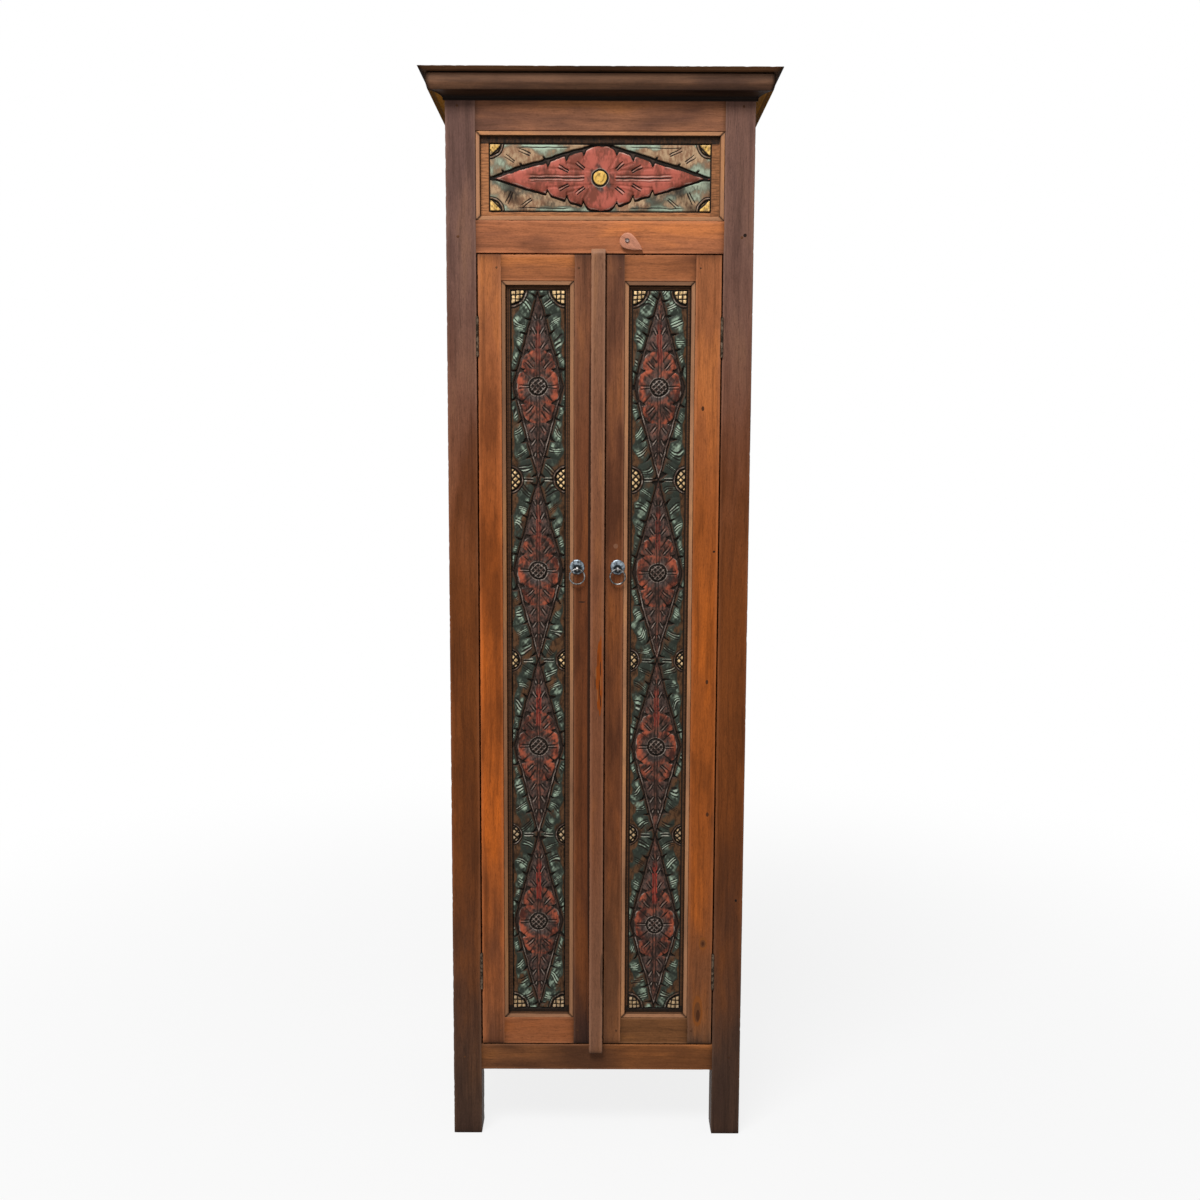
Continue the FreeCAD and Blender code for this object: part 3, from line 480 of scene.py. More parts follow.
class MetalSettings(bpy.types.PropertyGroup):
    """Iron and steel."""
    iron: colour("Iron", "Blued iron of the pull plates", (0.14, 0.165, 0.185))
    ring: colour("Ring", "Worn grey iron of the rings", (0.14, 0.135, 0.13))
    head: colour("Screw head", "Grey head of the turn button's screw", (0.3, 0.24, 0.22))
    steel: colour("Steel", "Tarnished steel of the hinges", (0.07, 0.05, 0.035))


# Finishes. Noise scales are waves per metre, on boards along, across and through the grain.

def dimmed(shade, share):
    """A colour times a share, kept within one."""
    return tuple(min(1, share * channel) for channel in shade)


def teak(name, main, top=None, foot=None, right=None, streaky=0.5, patchy=0.5, worn=0.4, dirt_and_shade=0.6, marks=(),
         shine=0.45):
    """Old oiled teak. The colour goes from foot over main to top with height, and to right past the middle
    of the cabinet. The top colour is a painted sheen, and a darker foot is partly painted shade. Dark
    streaks and fibres run along the grain, with warm and dark patches, black pores, paler rubbed edges and
    darkening
    at the ends: soiling at board ends, and painted shade on the mouldings, cornice and cap core. Each mark
    is (x, z, half width, half height, colour) in millimetres on the front, and a mark may be a painted
    shadow."""
    finish = Finish(name, {"Specular IOR Level": 0.08})
    grain = finish.attribute("grain")
    edge, end, tone = finish.parts(finish.attribute("rub"))
    across, _, up = finish.parts(finish.place())
    main = tuple(main)
    patch = finish.noise(grain, (4.5, 20, 20), 3.0, 0.55)
    drift = up + (patch - 0.5) * 0.5
    # Above about a metre the colour turns to top, a painted sheen; low down it turns to foot, on the posts
    # partly painted shade
    base = finish.mix(main, tuple(top or main), finish.ease(drift, 0.95, 1.6))
    base = finish.mix(tuple(foot or top or main), base, finish.ease(drift, 0.05, 0.62))
    if right:
        base = finish.mix(base, tuple(right), finish.ease(across + (patch - 0.5) * 0.1, -0.03, 0.06))
    sway = finish.noise(grain, (2.6, 10, 10))
    shift = finish.node("ShaderNodeCombineXYZ", {}, {1: (sway - 0.5) * 0.03, 2: (sway - 0.5) * 0.03})
    bent = finish.vector("ADD", grain, shift)
    streak = finish.noise(bent, (3.5, 120, 120), 4.0, 0.62)
    fibre = finish.noise(bent, (22, 800, 800), 3.0, 0.6)
    pore = finish.ease(finish.noise(bent, (70, 1500, 1500), 1.0), 0.6, 0.7)
    dark = finish.scaled(base, 0.3)
    blotch = finish.noise(grain, (24, 60, 60), 4.0, 0.65)
    mottle = finish.noise(grain, (260, 420, 420), 2.0, 0.6)
    strength = min(1, 1.4 * patchy)
    shady = 1 - finish.ease(patch + (tone - 0.5) * 0.16, 0.3, 0.5)
    sunny = finish.ease(patch, 0.52, 0.68)
    coats = (
        (finish.vector("MULTIPLY", base, (0.46, 0.48, 0.58)), shady * strength),
        (finish.vector("MULTIPLY", base, (1.42, 1.36, 1.05)), sunny * strength),
        (dark, finish.ease(blotch, 0.56, 0.74) * 0.45 * patchy),
        (dark, (1 - finish.ease(streak, 0.3, 0.52)) * streaky),
        (dark, pore * 0.5),
    )
    wood = base
    for coat, cover in coats:
        wood = finish.mix(wood, coat, cover)
    wood = finish.scaled(wood, 0.4 + fibre * 0.76 + mottle * 0.46)
    for x, z, wide, tall, stain in marks:
        ring = finish.spot(across, up, x * mm, z * mm, wide * mm, tall * mm)
        wood = finish.mix(wood, stain, finish.ease(ring + (streak + fibre - 1.0) * 0.6, 0.2, 0.5))
    pale = finish.vector("ADD", finish.scaled(base, 1.5), (0.05, 0.04, 0.03))
    rubbed = finish.ease(edge * (0.25 + patch + streak * 0.5), 0.45, 0.95)
    wood = finish.mix(wood, pale, rubbed * worn)
    # Darker by the end channel: soiling at board ends, and painted shade laid in on mouldings, cornice and
    # cap core
    wood = finish.scaled(wood, 1 - end * dirt_and_shade)
    rough = shine + streak * 0.2 - rubbed * 0.06
    return finish.finish(wood, rough, streak * 0.35 + fibre * 0.3 - pore * 0.7, 0.35, 0.5 * mm)


def carved_paint(name, ground, shade, border, teal, base, deep, gilt):
    """Carved and painted teak: the point attributes say where the coats lie and where grooves and ridges
    run, and noise wears each coat back to the wood, blackens the grooves and pales the ridges: soiling and
    rubbed paint, with painted shade in the grooves and a painted highlight on the ridges."""
    paint = bpy.context.scene.cabinet_carving
    finish = Finish(name, {"Specular IOR Level": 0.12})
    grain = finish.attribute("grain")
    red, green, gold = finish.parts(finish.attribute("paint"))
    groove, ridge, leaf = finish.parts(finish.attribute("relief"))
    bare, bright, pale = finish.parts(finish.attribute("coat"))
    fine = finish.noise(grain, (800, 800, 330), 3.0, 0.6)
    brush = finish.noise(grain, (230, 230, 110), 3.0, 0.6)
    cloud = finish.noise(grain, (45, 45, 28), 3.0, 0.55)
    fibre = finish.noise(grain, (60, 700, 700), 3.0, 0.6)
    stain = tuple(paint.leaf)
    soot = (0.026, 0.018, 0.016)
    ash = (0.1, 0.075, 0.066)
    pale_green = (0.31, 0.4, 0.3)
    scarlet = (0.5, 0.05, 0.03)
    tan = (0.3, 0.2, 0.14)
    bone = (0.46, 0.44, 0.4)
    pink = (base[0] * 1.5, base[1] * 2.0, base[2] * 2.0)
    bright_gilt = tuple(min(1, 1.15 * channel + 0.06) for channel in gilt)
    plain = finish.mix(border, dimmed(border, 0.5), finish.ease(fibre, 0.4, 0.62))
    grey = finish.mix(soot, ash, finish.ease(fine * 0.5 + brush * 0.5, 0.4, 0.62))
    brown = finish.mix(dimmed(stain, 0.4), dimmed(stain, 1.6), finish.ease(brush + cloud * 0.3, 0.5, 0.8))
    # Leaf sprays: darker away from the pale places and paler on ridges, painted shade and highlight beside
    # weathered paint
    greens = finish.mix(dimmed(teal, 0.16), teal, finish.ease(brush * 0.7 + pale * 0.5, 0.38, 0.85))
    lit = finish.ease(fine * 0.4 + brush * 0.2 + ridge * 0.4 + pale * 0.5, 0.5, 0.9)
    greens = finish.mix(greens, pale_green, lit)
    reds = finish.mix(deep, base, finish.ease(cloud + brush * 0.5, 0.6, 0.9))
    # Pinker on the red where fine noise and the ridges say: chalky paint with a painted highlight
    chalk_and_highlight = finish.ease(fine * 0.5 + cloud * 0.3 + ridge * 0.35, 0.52, 0.85)
    reds = finish.mix(reds, pink, chalk_and_highlight * 0.6)
    golds = finish.mix(dimmed(gilt, 0.4), gilt, finish.ease(brush, 0.3, 0.5))
    golds = finish.mix(golds, bright_gilt, finish.ease(brush + ridge * 0.2, 0.55, 0.72))
    # Painted highlight: pale glints along the ridges
    sparkle = finish.ease(ridge * (0.2 + fine * 0.7 + cloud * 0.5), 0.35, 0.85)
    coats = (
        (plain, bare),
        (finish.mix(brown, grey, pale), leaf),
        (greens, finish.ease(green + (brush - 0.5) * 0.4, 0.2, 0.7)),
        (reds, finish.ease(red + (brush - 0.5) * 0.6, 0.15, 0.85)),
        (scarlet, bright * finish.ease(brush, 0.35, 0.5)),
        (golds, gold),
        (finish.mix(tan, bone, cloud), sparkle * (1 - gold) * 0.6),
        (tuple(paint.dirt_and_shade), finish.ease(groove + (brush - 0.5) * 0.35, 0.12, 0.7)),
    )
    wood = finish.mix(ground, shade, finish.ease(brush * 0.6 + cloud * 0.4, 0.42, 0.6))
    for coat, cover in coats:
        wood = finish.mix(wood, coat, cover)
    rough = 0.5 + brush * 0.2 - gold * 0.12
    return finish.finish(wood, rough, fine * 0.4 + brush * 0.6, 0.4, 0.6 * mm)


def metal(name, main, rough, marks=()):
    """Old metal: dark scale with brighter rubbed patches and a fine pitted surface, painted black about
    each mark (x, z, radius) in millimetres as a painted dark reflection."""
    finish = Finish(name, {"Metallic": 1.0})
    place = finish.place()
    cloud = finish.noise(place, (180, 180, 180), 4.0, 0.6)
    pit = finish.noise(place, (1400, 1400, 1400), 2.0)
    main = tuple(main)
    coat = finish.mix(dimmed(main, 0.35), dimmed(main, 2.2), finish.ease(cloud, 0.36, 0.66))
    across, _, up = finish.parts(place)
    for x, z, radius in marks:
        spot = finish.spot(across, up, x * mm, z * mm, radius * mm, radius * mm)
        coat = finish.mix(coat, dimmed(main, 0.12), finish.ease(spot + cloud * 0.3, 0.15, 0.75))
    return finish.finish(coat, rough + cloud * 0.25, pit * 0.6 + cloud, 0.3, 0.3 * mm)


# Boards

def plain_teak(name):
    """The finish of the boards that the front doesn't show."""
    return teak(name, bpy.context.scene.cabinet_teak.panel, streaky=0.6, patchy=0.7, worn=0.25)


def seed_of(name):
    """A seed for a piece's noise, the same in each run."""
    return sum((place + 1) * ord(letter) for place, letter in enumerate(name))


def plank(node, body, slot, finish, along, **options):
    """A board in place of one CAD node. The options x, y and z limit the node's box in metres, and the
    others go to board()."""
    low, high = [list(corner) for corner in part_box(node)]
    for axis, key in enumerate("xyz"):
        start, stop = options.pop(key, (low[axis], high[axis]))
        low[axis] = max(low[axis], start)
        high[axis] = min(high[axis], stop)
    shape = board(seed_of(node), low, high, "xyz".index(along), **options)
    return add_piece("looks_" + node, shape, body, slot, finish, node)


def opening_half():
    """Half the width between the posts."""
    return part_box("front_right_post")[0].x


class CABINET_OT_frame(bpy.types.Operator):
    """Posts and front rails"""
    bl_idname = "cabinet.frame"
    bl_label = "Posts and rails"

    def execute(self, context):
        teaks = context.scene.cabinet_teak
        hole = (0.01, 0.006, 0.004)
        nail_holes = ((240, 1572, 3.5, 3.5, hole), (243, 433, 2.6, 3.2, hole))
        post = teak("post_teak", teaks.post, teaks.post_top, teaks.post_foot, streaky=0.45, patchy=0.35,
                    worn=0.25, marks=nail_holes)
        for name in ("front_left", "front_right", "rear_left", "rear_right"):
            plank(name + "_post", "carcass", "post_teak", post, "z", edge=1.5 * mm, chip=0.7 * mm,
                  pitch=5 * mm)
        reach = opening_half() + lap
        rails = (("top", None, 0.0), ("mid", None, 0.3), ("bottom", teaks.bottom_rail_right, 0.3))
        for name, right, worn in rails:
            rail = teak(name + "_rail_teak", getattr(teaks, name + "_rail"), right=right, streaky=0.45,
                        patchy=0.8, worn=worn)
            plank("front_" + name + "_rail", "carcass", "rail_teak", rail, "x", x=(-reach, reach))
        return {"FINISHED"}


class CABINET_OT_plain_boards(bpy.types.Operator):
    """Sides, back, shelves and cleats"""
    bl_idname = "cabinet.plain_boards"
    bl_label = "Sides, back and shelves"

    def execute(self, context):
        panel = plain_teak("panel_teak")
        options = ("carcass", "panel_teak", panel)
        large = {"pitch": 15 * mm, "wobble": 0.5 * mm}
        front_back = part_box("front_left_post")[1].y
        rear_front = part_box("rear_left_post")[0].y
        reach = opening_half() + lap
        low_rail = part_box("left_side_bottom_rail")[1].z
        high_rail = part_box("left_side_top_rail")[0].z
        for side in ("left", "right"):
            for level in ("bottom", "top"):
                plank(f"{side}_side_{level}_rail", *options, "y", y=(front_back - lap, rear_front + lap))
            plank(f"{side}_side_panel", *options, "z", **large)
        for level in ("bottom", "top"):
            plank(f"rear_{level}_rail", *options, "x", x=(-reach, reach))
        plank("back_panel", *options, "z", **large, x=(-reach, reach), z=(low_rail - lap, high_rail + lap))
        shelves = ("bottom_board", "shelf_1", "shelf_2", "shelf_3")
        for name in shelves:
            plank(name, *options, "x", pitch=12 * mm, x=(-reach, reach))
        cleats = []
        first_seed = 900
        cleat_inner = 185 * mm
        low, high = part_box("shelf_cleats")
        width = opening_half() - cleat_inner
        for number, name in enumerate(shelves):
            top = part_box(name)[0].z
            for x in (low.x, high.x - width):
                cleats.append(board(first_seed + 2 * number + (x > 0), (x, low.y, top - width),
                                    (x + width, high.y, top), 1, pitch=15 * mm))
        add_piece("looks_shelf_cleats", joined(cleats), *options, "shelf_cleats")
        return {"FINISHED"}


class CABINET_OT_cornice(bpy.types.Operator):
    """Cap board and the three lengths of cove under it"""
    bl_idname = "cabinet.cornice"
    bl_label = "Cornice"

    def execute(self, context):
        teaks = context.scene.cabinet_teak
        cornice = teak("cornice_teak", teaks.cornice, streaky=0.5, patchy=0.7, worn=0.4, dirt_and_shade=0.95)
        # Golden side lengths: painted reflected light
        side_cornice = teak("side_cornice_teak", teaks.side_cornice, streaky=0.5, patchy=0.6, worn=0.0,
                            dirt_and_shade=0.5, shine=0.8)
        cap = teak("cap_teak", teaks.cap, streaky=0.5, patchy=0.6, worn=0.12, dirt_and_shade=0.9, shine=0.75)
        low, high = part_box("cap_board")
        lip = 5.5 * mm
        slant = 0.8
        recess = 14 * mm
        slab = board(seed_of("cap_board"), (low.x, low.y, high.z - lip), tuple(high), 0, edge=0.8 * mm)
        points = slab[0]
        inward = slant * (high.z - points[:, 2])
        points[:, 0] -= np.sign(points[:, 0]) * inward
        points[:, 1] += np.where(points[:, 1] < 0, inward, 0)
        core = board(seed_of("cap_core"), (low.x + recess, low.y + recess, low.z),
                     (high.x - recess, high.y, high.z - 0.5 * lip), 0)
        # The recessed core is painted dark all over, a painted shadow line under the cap board's edge
        core[3]["rub"][:, 1] = 1.0
        add_piece("looks_cap_board", joined([slab, core]), "carcass", "cornice_teak", cap, "cap_board")
        low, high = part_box("cornice_front")
        left_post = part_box("front_left_post")[0]
        right_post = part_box("front_right_post")[1]
        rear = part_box("rear_left_post")[1].y
        reach = left_post.y - low.y
        sink = 4.5 * mm
        rise = 5 * mm
        low.z -= sink
        tall = high.z - low.z + rise
        lip = 3 * mm
        fascia = 0.7 * tall
        undercut = 3 * mm
        bend = np.linspace(0, math.pi / 2, 12)
        cove_out = reach - (reach - lip) * np.cos(bend) - undercut * np.sin(bend) ** 8
        cove_up = lip + (tall - lip - fascia) * np.sin(bend)
        outline = [(0, 0), (lip, 0), *zip(cove_out, cove_up), (reach, tall - 0.6 * fascia), (reach, tall),
                   (0, tall)]
        profile = softened(outline, 1 * mm)
        share = profile[:, 1] / tall
        # Painted shade: the front cove darkens towards its foot and is black at the bottom
        dirt_and_shade = np.clip(1.35 - 2.4 * share, 0, 1) * (profile[:, 0] > 0)
        wide = right_post.x - left_post.x
        deep = rear - left_post.y
        left_corner = (left_post.x, left_post.y, low.z)
        right_corner = (right_post.x, left_post.y, low.z)
        up = (0, 0, 1)
        # The side lengths are darker over the upper part of their profile
        side_darkening = (share > 0.28) * 1.0
        lengths = (
            ("front", left_corner, ((1, 0, 0), (0, -1, 0), up), wide, (-1, 1), dirt_and_shade, cornice),
            ("left", left_corner, ((0, 1, 0), (-1, 0, 0), up), deep, (-1, 0), side_darkening, side_cornice),
            ("right", right_corner, ((0, 1, 0), (1, 0, 0), up), deep, (-1, 0), side_darkening, side_cornice),
        )
        for side, origin, axes, length, shifts, darkening, finish in lengths:
            node = "cornice_" + side
            # The height share makes the front cove paler towards its top, a painted highlight
            shape = mitred(seed_of(node), profile, share, darkening, origin, axes, length, shifts)
            add_piece("looks_" + node, shape, "carcass", "cornice_teak", finish, node)
        return {"FINISHED"}


def narrow_gap(piece):
    """Brings the front of the right door's meeting edge nearer the strip; its back keeps room to swing."""
    shift = 1.2 * mm
    reach = 8 * mm
    points = np.empty(len(piece.data.vertices) * 3)
    piece.data.vertices.foreach_get("co", points)
    points = points.reshape(-1, 3)
    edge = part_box("right_door_meeting_stile")[0]
    forward = np.clip(1 - (points[:, 1] - edge.y) / reach, 0, 1)
    near = np.clip(1 - (points[:, 0] - edge.x) / reach, 0, 1)
    points[:, 0] -= shift * forward * near
    piece.data.vertices.foreach_set("co", points.ravel())
    piece.data.update()


class CABINET_OT_door_frames(bpy.types.Operator):
    """Stiles and rails of the doors, and the strip over their meeting line"""
    bl_idname = "cabinet.door_frames"
    bl_label = "Door frames"

    def execute(self, context):
        teaks = context.scene.cabinet_teak
        black = (0.012, 0.007, 0.004)
        knot = (0.06, 0.02, 0.007)
        halo = (0.2, 0.062, 0.014)
        ring = (0.12, 0.042, 0.014)
        knots = ((174, 1288, 3, 5, knot), (187, 822, 3, 5, knot), (191, 588, 3, 5, knot),
                 (186, 354, 9, 15, halo), (186, 354, 6, 9, ring), (186, 354, 3, 5, knot),
                 (178, 230, 11, 36, halo), (178, 228, 7, 24, ring),
                 (179, 222, 4, 13, knot), (-160, 228, 6, 9, knot), (196, 1047, 2.4, 2.4, black))
        scar = (0.17, 0.075, 0.04)
        bruise = (0.04, 0.016, 0.008)
        # Painted shadow: a tall dark band on the left meeting stile beside the strip
        shadow = (0.03, 0.012, 0.006)
        scars_and_shadow = ((29, 1056, 5, 5, scar), (-29, 960, 8, 2, bruise), (-15.5, 855, 4, 690, shadow))
        looks = {"streaky": 0.5, "patchy": 0.65, "worn": 0.3}
        doors = (("left", teaks.stile, None, teaks.left_meeting, teaks.left_foot),
                 ("right", teaks.right_stile, teaks.stile_foot, teaks.meeting, teaks.right_foot))
        for side, main, stile_foot, dark, foot in doors:
            body = side + "_door"
            stile = teak(body + "_teak", main, teaks.stile_top, stile_foot, marks=knots, **looks)
            meeting = teak(side + "_meeting_teak", dark, teaks.meeting_top_sheen, foot, marks=scars_and_shadow, **looks)
            plank(body + "_hinge_stile", body, "door_teak", stile, "z", pitch=5 * mm)
            stile_piece = plank(body + "_meeting_stile", body, "door_teak", meeting, "z", pitch=5 * mm)
            low_rail = stile
            if side == "right":
                narrow_gap(stile_piece)
                low_rail = teak("low_rail_teak", teaks.low_rail, marks=knots, **looks)
            stiles = [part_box(f"{body}_{kind}_stile") for kind in ("hinge", "meeting")]
            start = min(high.x for _, high in stiles) - lap
            stop = max(low.x for low, _ in stiles) + lap
            for level, finish in (("bottom", low_rail), ("top", stile)):
                plank(f"{body}_{level}_rail", body, "door_teak", finish, "x", x=(start, stop), pitch=4 * mm)
        orange = (0.215, 0.045, 0.004)
        sandy = (0.24, 0.09, 0.03)
        splinters = ((1.5, 858, 4.5, 44, orange), (5, 815, 4, 46, orange), (0, 800, 3, 32, orange),
                     (4.5, 884, 2.6, 24, orange), (6.5, 842, 2.5, 34, orange), (-2.5, 830, 2.4, 26, orange),
                     (3, 778, 2.4, 18, orange), (-4, 838, 1, 14, sandy), (4.5, 822, 0.9, 16, sandy),
                     (-1, 800, 0.9, 14, sandy), (7, 790, 0.9, 12, sandy), (8.6, 866, 1.1, 24, black),
                     (3.5, 846, 0.9, 16, black), (1.8, 810, 0.9, 22, black), (4, 790, 0.9, 14, black),
                     (-5.5, 822, 0.7, 14, black), (-0.5, 862, 0.7, 16, black), (8, 300, 3, 50, black))
        strip = teak("strip_teak", teaks.strip, teaks.strip_top_sheen, streaky=0.45, patchy=0.5, worn=0.4,
                     marks=splinters)
        low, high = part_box("cover_strip")
        lath = board(seed_of("cover_strip"), tuple(low), tuple(high), 2, edge=1.8 * mm, chip=0.9 * mm,
                     pitch=4 * mm)
        points = lath[0]
        rub = lath[3]["rub"]
        bevel = 7 * mm
        bevel_back = -163 * mm
        lean = np.clip(points[:, 2] - high.z + bevel, 0, bevel)
        points[:, 1] = np.maximum(points[:, 1], low.y + 0.9 * lean)
        rub[:, 0] = np.maximum(rub[:, 0], (lean > 0.5 * mm) & (points[:, 1] < bevel_back))
        rub[:, 1] *= lean == 0
        add_piece("looks_cover_strip", lath, "left_door", "strip_teak", strip, "cover_strip")
        return {"FINISHED"}


class CABINET_OT_mouldings(bpy.types.Operator):
    """Mitred mouldings round the three carved panels"""
    bl_idname = "cabinet.mouldings"
    bl_label = "Mouldings"

    def execute(self, context):
        moulding = teak("moulding_teak", context.scene.cabinet_teak.moulding, streaky=0.5, patchy=0.8,
                        worn=0.25, dirt_and_shade=0.92)
        outline = np.array([(0.15, 0), (8, 0), (8, 2.4), (7.7, 3.4), (7.0, 6.0), (6.3, 7.6), (0.8, 7.6),
                            (0.15, 6.8)])
        profile = softened(outline * mm, 0.3 * mm)
        across = profile[:, 0] / mm
        wear_and_highlight = (profile[:, 1] > 7.2 * mm) * 1.0
        bevel = np.maximum(across > 6.5, across < 0.6) * 1.0
        # Painted shade on the bevels and over the whole of each length: top, bottom, left and right
        kinds = (
            ("frieze_moulding", "carcass", (1.0, 0.3, 0.9, 0.7), (0.34, 0.32, 0.24, 0.38)),
            ("left_door_moulding", "left_door", (1.0, 0.8, 1.0, 0.95), (0.5, 0.25, 0.62, 0.45)),
            ("right_door_moulding", "right_door", (1.0, 0.8, 0.95, 1.0), (0.5, 0.25, 0.36, 0.3)),
        )
        for node, body, bevel_shading, shades in kinds:
            low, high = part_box(node)
            wide = high.x - low.x
            tall = high.z - low.z
            up = (0, -1, 0)
            sides = (
                ((low.x, high.y, high.z), ((1, 0, 0), (0, 0, -1), up), wide),
                ((low.x, high.y, low.z), ((1, 0, 0), (0, 0, 1), up), wide),
                ((low.x, high.y, low.z), ((0, 0, 1), (1, 0, 0), up), tall),
                ((high.x, high.y, low.z), ((0, 0, 1), (-1, 0, 0), up), tall),
            )
            lengths = []
            for number, (origin, axes, length) in enumerate(sides):
                # Painted shade on this length's bevels and over its face
                dirt_and_shade = np.maximum(bevel * bevel_shading[number], shades[number])
                lengths.append(mitred(seed_of(node) + number, profile, wear_and_highlight, dirt_and_shade, origin, axes, length,
                                      shifts=(1, -1), pitch=4 * mm))
            add_piece("looks_" + node, joined(lengths), body, "moulding_teak", moulding, node)
        return {"FINISHED"}


# Carving, worked out in millimetres

def ramp(low, high, value):
    """Smooth step from zero at low to one at high, either way round."""
    share = np.clip((value - low) / (high - low), 0, 1)
    return share * share * (3 - 2 * share)


def ditch(gap, half):
    """One on a line and zero past its half width, round at the bottom."""
    return np.clip(1 - (gap / half) ** 2, 0, 1)


def rounded(share):
    """Height of a unit dome at a share of its radius, zero past its rim."""
    return np.sqrt(np.clip(1 - share ** 2, 0, 1))


def notched(edge, run, notches, before, after):
    """An edge with a bite at each (place, depth), as wide before the place and after it as given."""
    for place, depth in notches:
        edge = edge - depth * np.exp(-((run - place) / np.where(run < place, before, after)) ** 2)
    return edge


def to_line(u, v, start, stop):
    """Distance from each point to a straight cut, and how far along the cut its nearest place lies."""
    du = stop[0] - start[0]
    dv = stop[1] - start[1]
    share = np.clip(((u - start[0]) * du + (v - start[1]) * dv) / (du * du + dv * dv), 0, 1)
    return np.hypot(u - start[0] - share * du, v - start[1] - share * dv), share


def blurred(field, rounds):
    """Each point averaged with its four neighbours, over and over."""
    for _ in range(rounds):
        padded = np.pad(field, 1, mode="edge")
        field = (padded[:-2, 1:-1] + padded[2:, 1:-1] + padded[1:-1, :-2] + padded[1:-1, 2:] + field) / 5
    return field


class Carving:
    """A carved panel on a grid: x across, z up, and for each point its height over the ground, its coats of
    paint, and how much it lies in a groove or on a ridge. Grooves are painted dark and ridges pale: soiling
    and rubbed paint, together with painted shade and painted highlight."""

    coats = ("red", "teal", "gold", "groove", "ridge", "leaf", "bare", "bright", "pale")

    def __init__(self, opening, margin, cell, seed):
        self.rng = np.random.default_rng(seed)
        self.low = np.array(opening[0]) / mm + margin
        self.high = np.array(opening[1]) / mm - margin
        columns = round((self.high[0] - self.low[0]) / cell) + 1
        rows = round((self.high[2] - self.low[2]) / cell) + 1
        line_x = np.linspace(self.low[0], self.high[0], columns)
        line_z = np.linspace(self.low[2], self.high[2], rows)
        self.z, self.x = np.meshgrid(line_z, line_x, indexing="ij")
        self.warp_x = self.x + 0.8 * self.ripple(70) + 0.5 * self.ripple(22)
        self.warp_z = self.z + 0.9 * self.ripple(80) + 0.6 * self.ripple(24)
        self.height = np.zeros_like(self.x)
        for coat in self.coats:
            setattr(self, coat, np.zeros_like(self.x))

    def ripple(self, length):
        return waves(self.rng, ((self.x, self.z), length))

    def patches(self, length, mean, swing, low=0, high=1):
        """Seeded patches about a mean, kept between low and high."""
        return np.clip(mean + swing * self.ripple(length), low, high)

    def clear(self, mask):
        """Takes every coat off where the mask is one."""
        for coat in self.coats:
            setattr(self, coat, getattr(self, coat) * (1 - mask))

    def lay(self, coat, amount):
        setattr(self, coat, np.maximum(getattr(self, coat), amount))

    def cut(self, mask, depth):
        """Lowers the surface along a groove and blackens it: soiling and painted shade."""
        self.height = self.height - depth * mask
        self.lay("groove", np.clip(mask, 0, 1))

    def pairs(self, u, v, cuts, where, half=1.2, gap=1.8, depth=1.5, light=0.6):
        """Two tapering gouges side by side along each cut, blackened, and the paler ridge left between
        them: rubbed paint with painted shade and a painted highlight.
        """
        for start, stop in cuts:
            du = stop[0] - start[0]
            dv = stop[1] - start[1]
            length = math.hypot(du, dv)
            side = (-dv / length * gap, du / length * gap)
            for turn in (-1, 1):
                first = (start[0] + turn * side[0], start[1] + turn * side[1])
                last = (stop[0] + 1.5 * turn * side[0], stop[1] + 1.5 * turn * side[1])
                far, share = to_line(u, v, first, last)
                self.cut(ditch(far, half * (1.25 - 0.6 * share)) * where, depth)
            far, share = to_line(u, v, start, stop)
            self.lay("ridge", light * ditch(far, 1.0) * where)

    def lattice(self, a, b, pitch, half):
        """Crossed lines, one on a line."""
        first = np.abs((a / pitch) % 1 - 0.5) * pitch
        second = np.abs((b / pitch) % 1 - 0.5) * pitch
        return np.maximum(ditch(first, half), ditch(second, half))

    def woven(self, dx, dz, pitch, half):
        """A lattice turned by an eighth of a turn."""
        diagonal = 0.707
        return self.lattice((dx + dz) * diagonal, (dx - dz) * diagonal, pitch, half)

    def rosette(self, x, z, radius, pitch, slant, gilding):
        """Domed gold disc cut into squares, with a dark moat and a paler raised ring round it: painted
        shade and painted highlight beside soiling and rubbed paint.
        """
        dx = self.warp_x - x
        dz = self.warp_z - z
        gap = np.hypot(dx, dz)
        inside = ramp(0.6, -0.6, gap - radius)
        dome = rounded(gap / (radius + 4))
        if slant:
            lines = self.woven(dx, dz, pitch, 1.8)
        else:
            lines = self.lattice(dx + pitch / 2, dz + pitch / 2, pitch, 1.25)
        self.height = np.where(gap < radius, 3.6 * dome - 1.6 * lines, self.height)
        disc = ramp(radius + 6, radius + 4.5, gap)
        self.clear(disc)
        self.lay("leaf", disc * 0.6)
        self.lay("groove", inside * lines)
        wear_and_highlight = self.patches(11, 0.75, 0.5)
        self.lay("gold", inside * (1 - lines) * wear_and_highlight * gilding)
        self.lay("ridge", 0.55 * inside * (1 - lines) * wear_and_highlight)
        thin = min(1, radius / 20)
        self.cut(ditch(gap - radius - 1.6 * thin, 2.1 * thin), 2.0)
        lip = ditch(gap - radius - 4.6 * thin, 1.6 * thin)
        self.height = self.height + 1.6 * lip
        self.lay("ridge", lip * self.patches(15, 0.2, 0.6))
        self.cut(0.8 * ditch(gap - radius - 7.0 * thin, 1.6 * thin), 0.8)

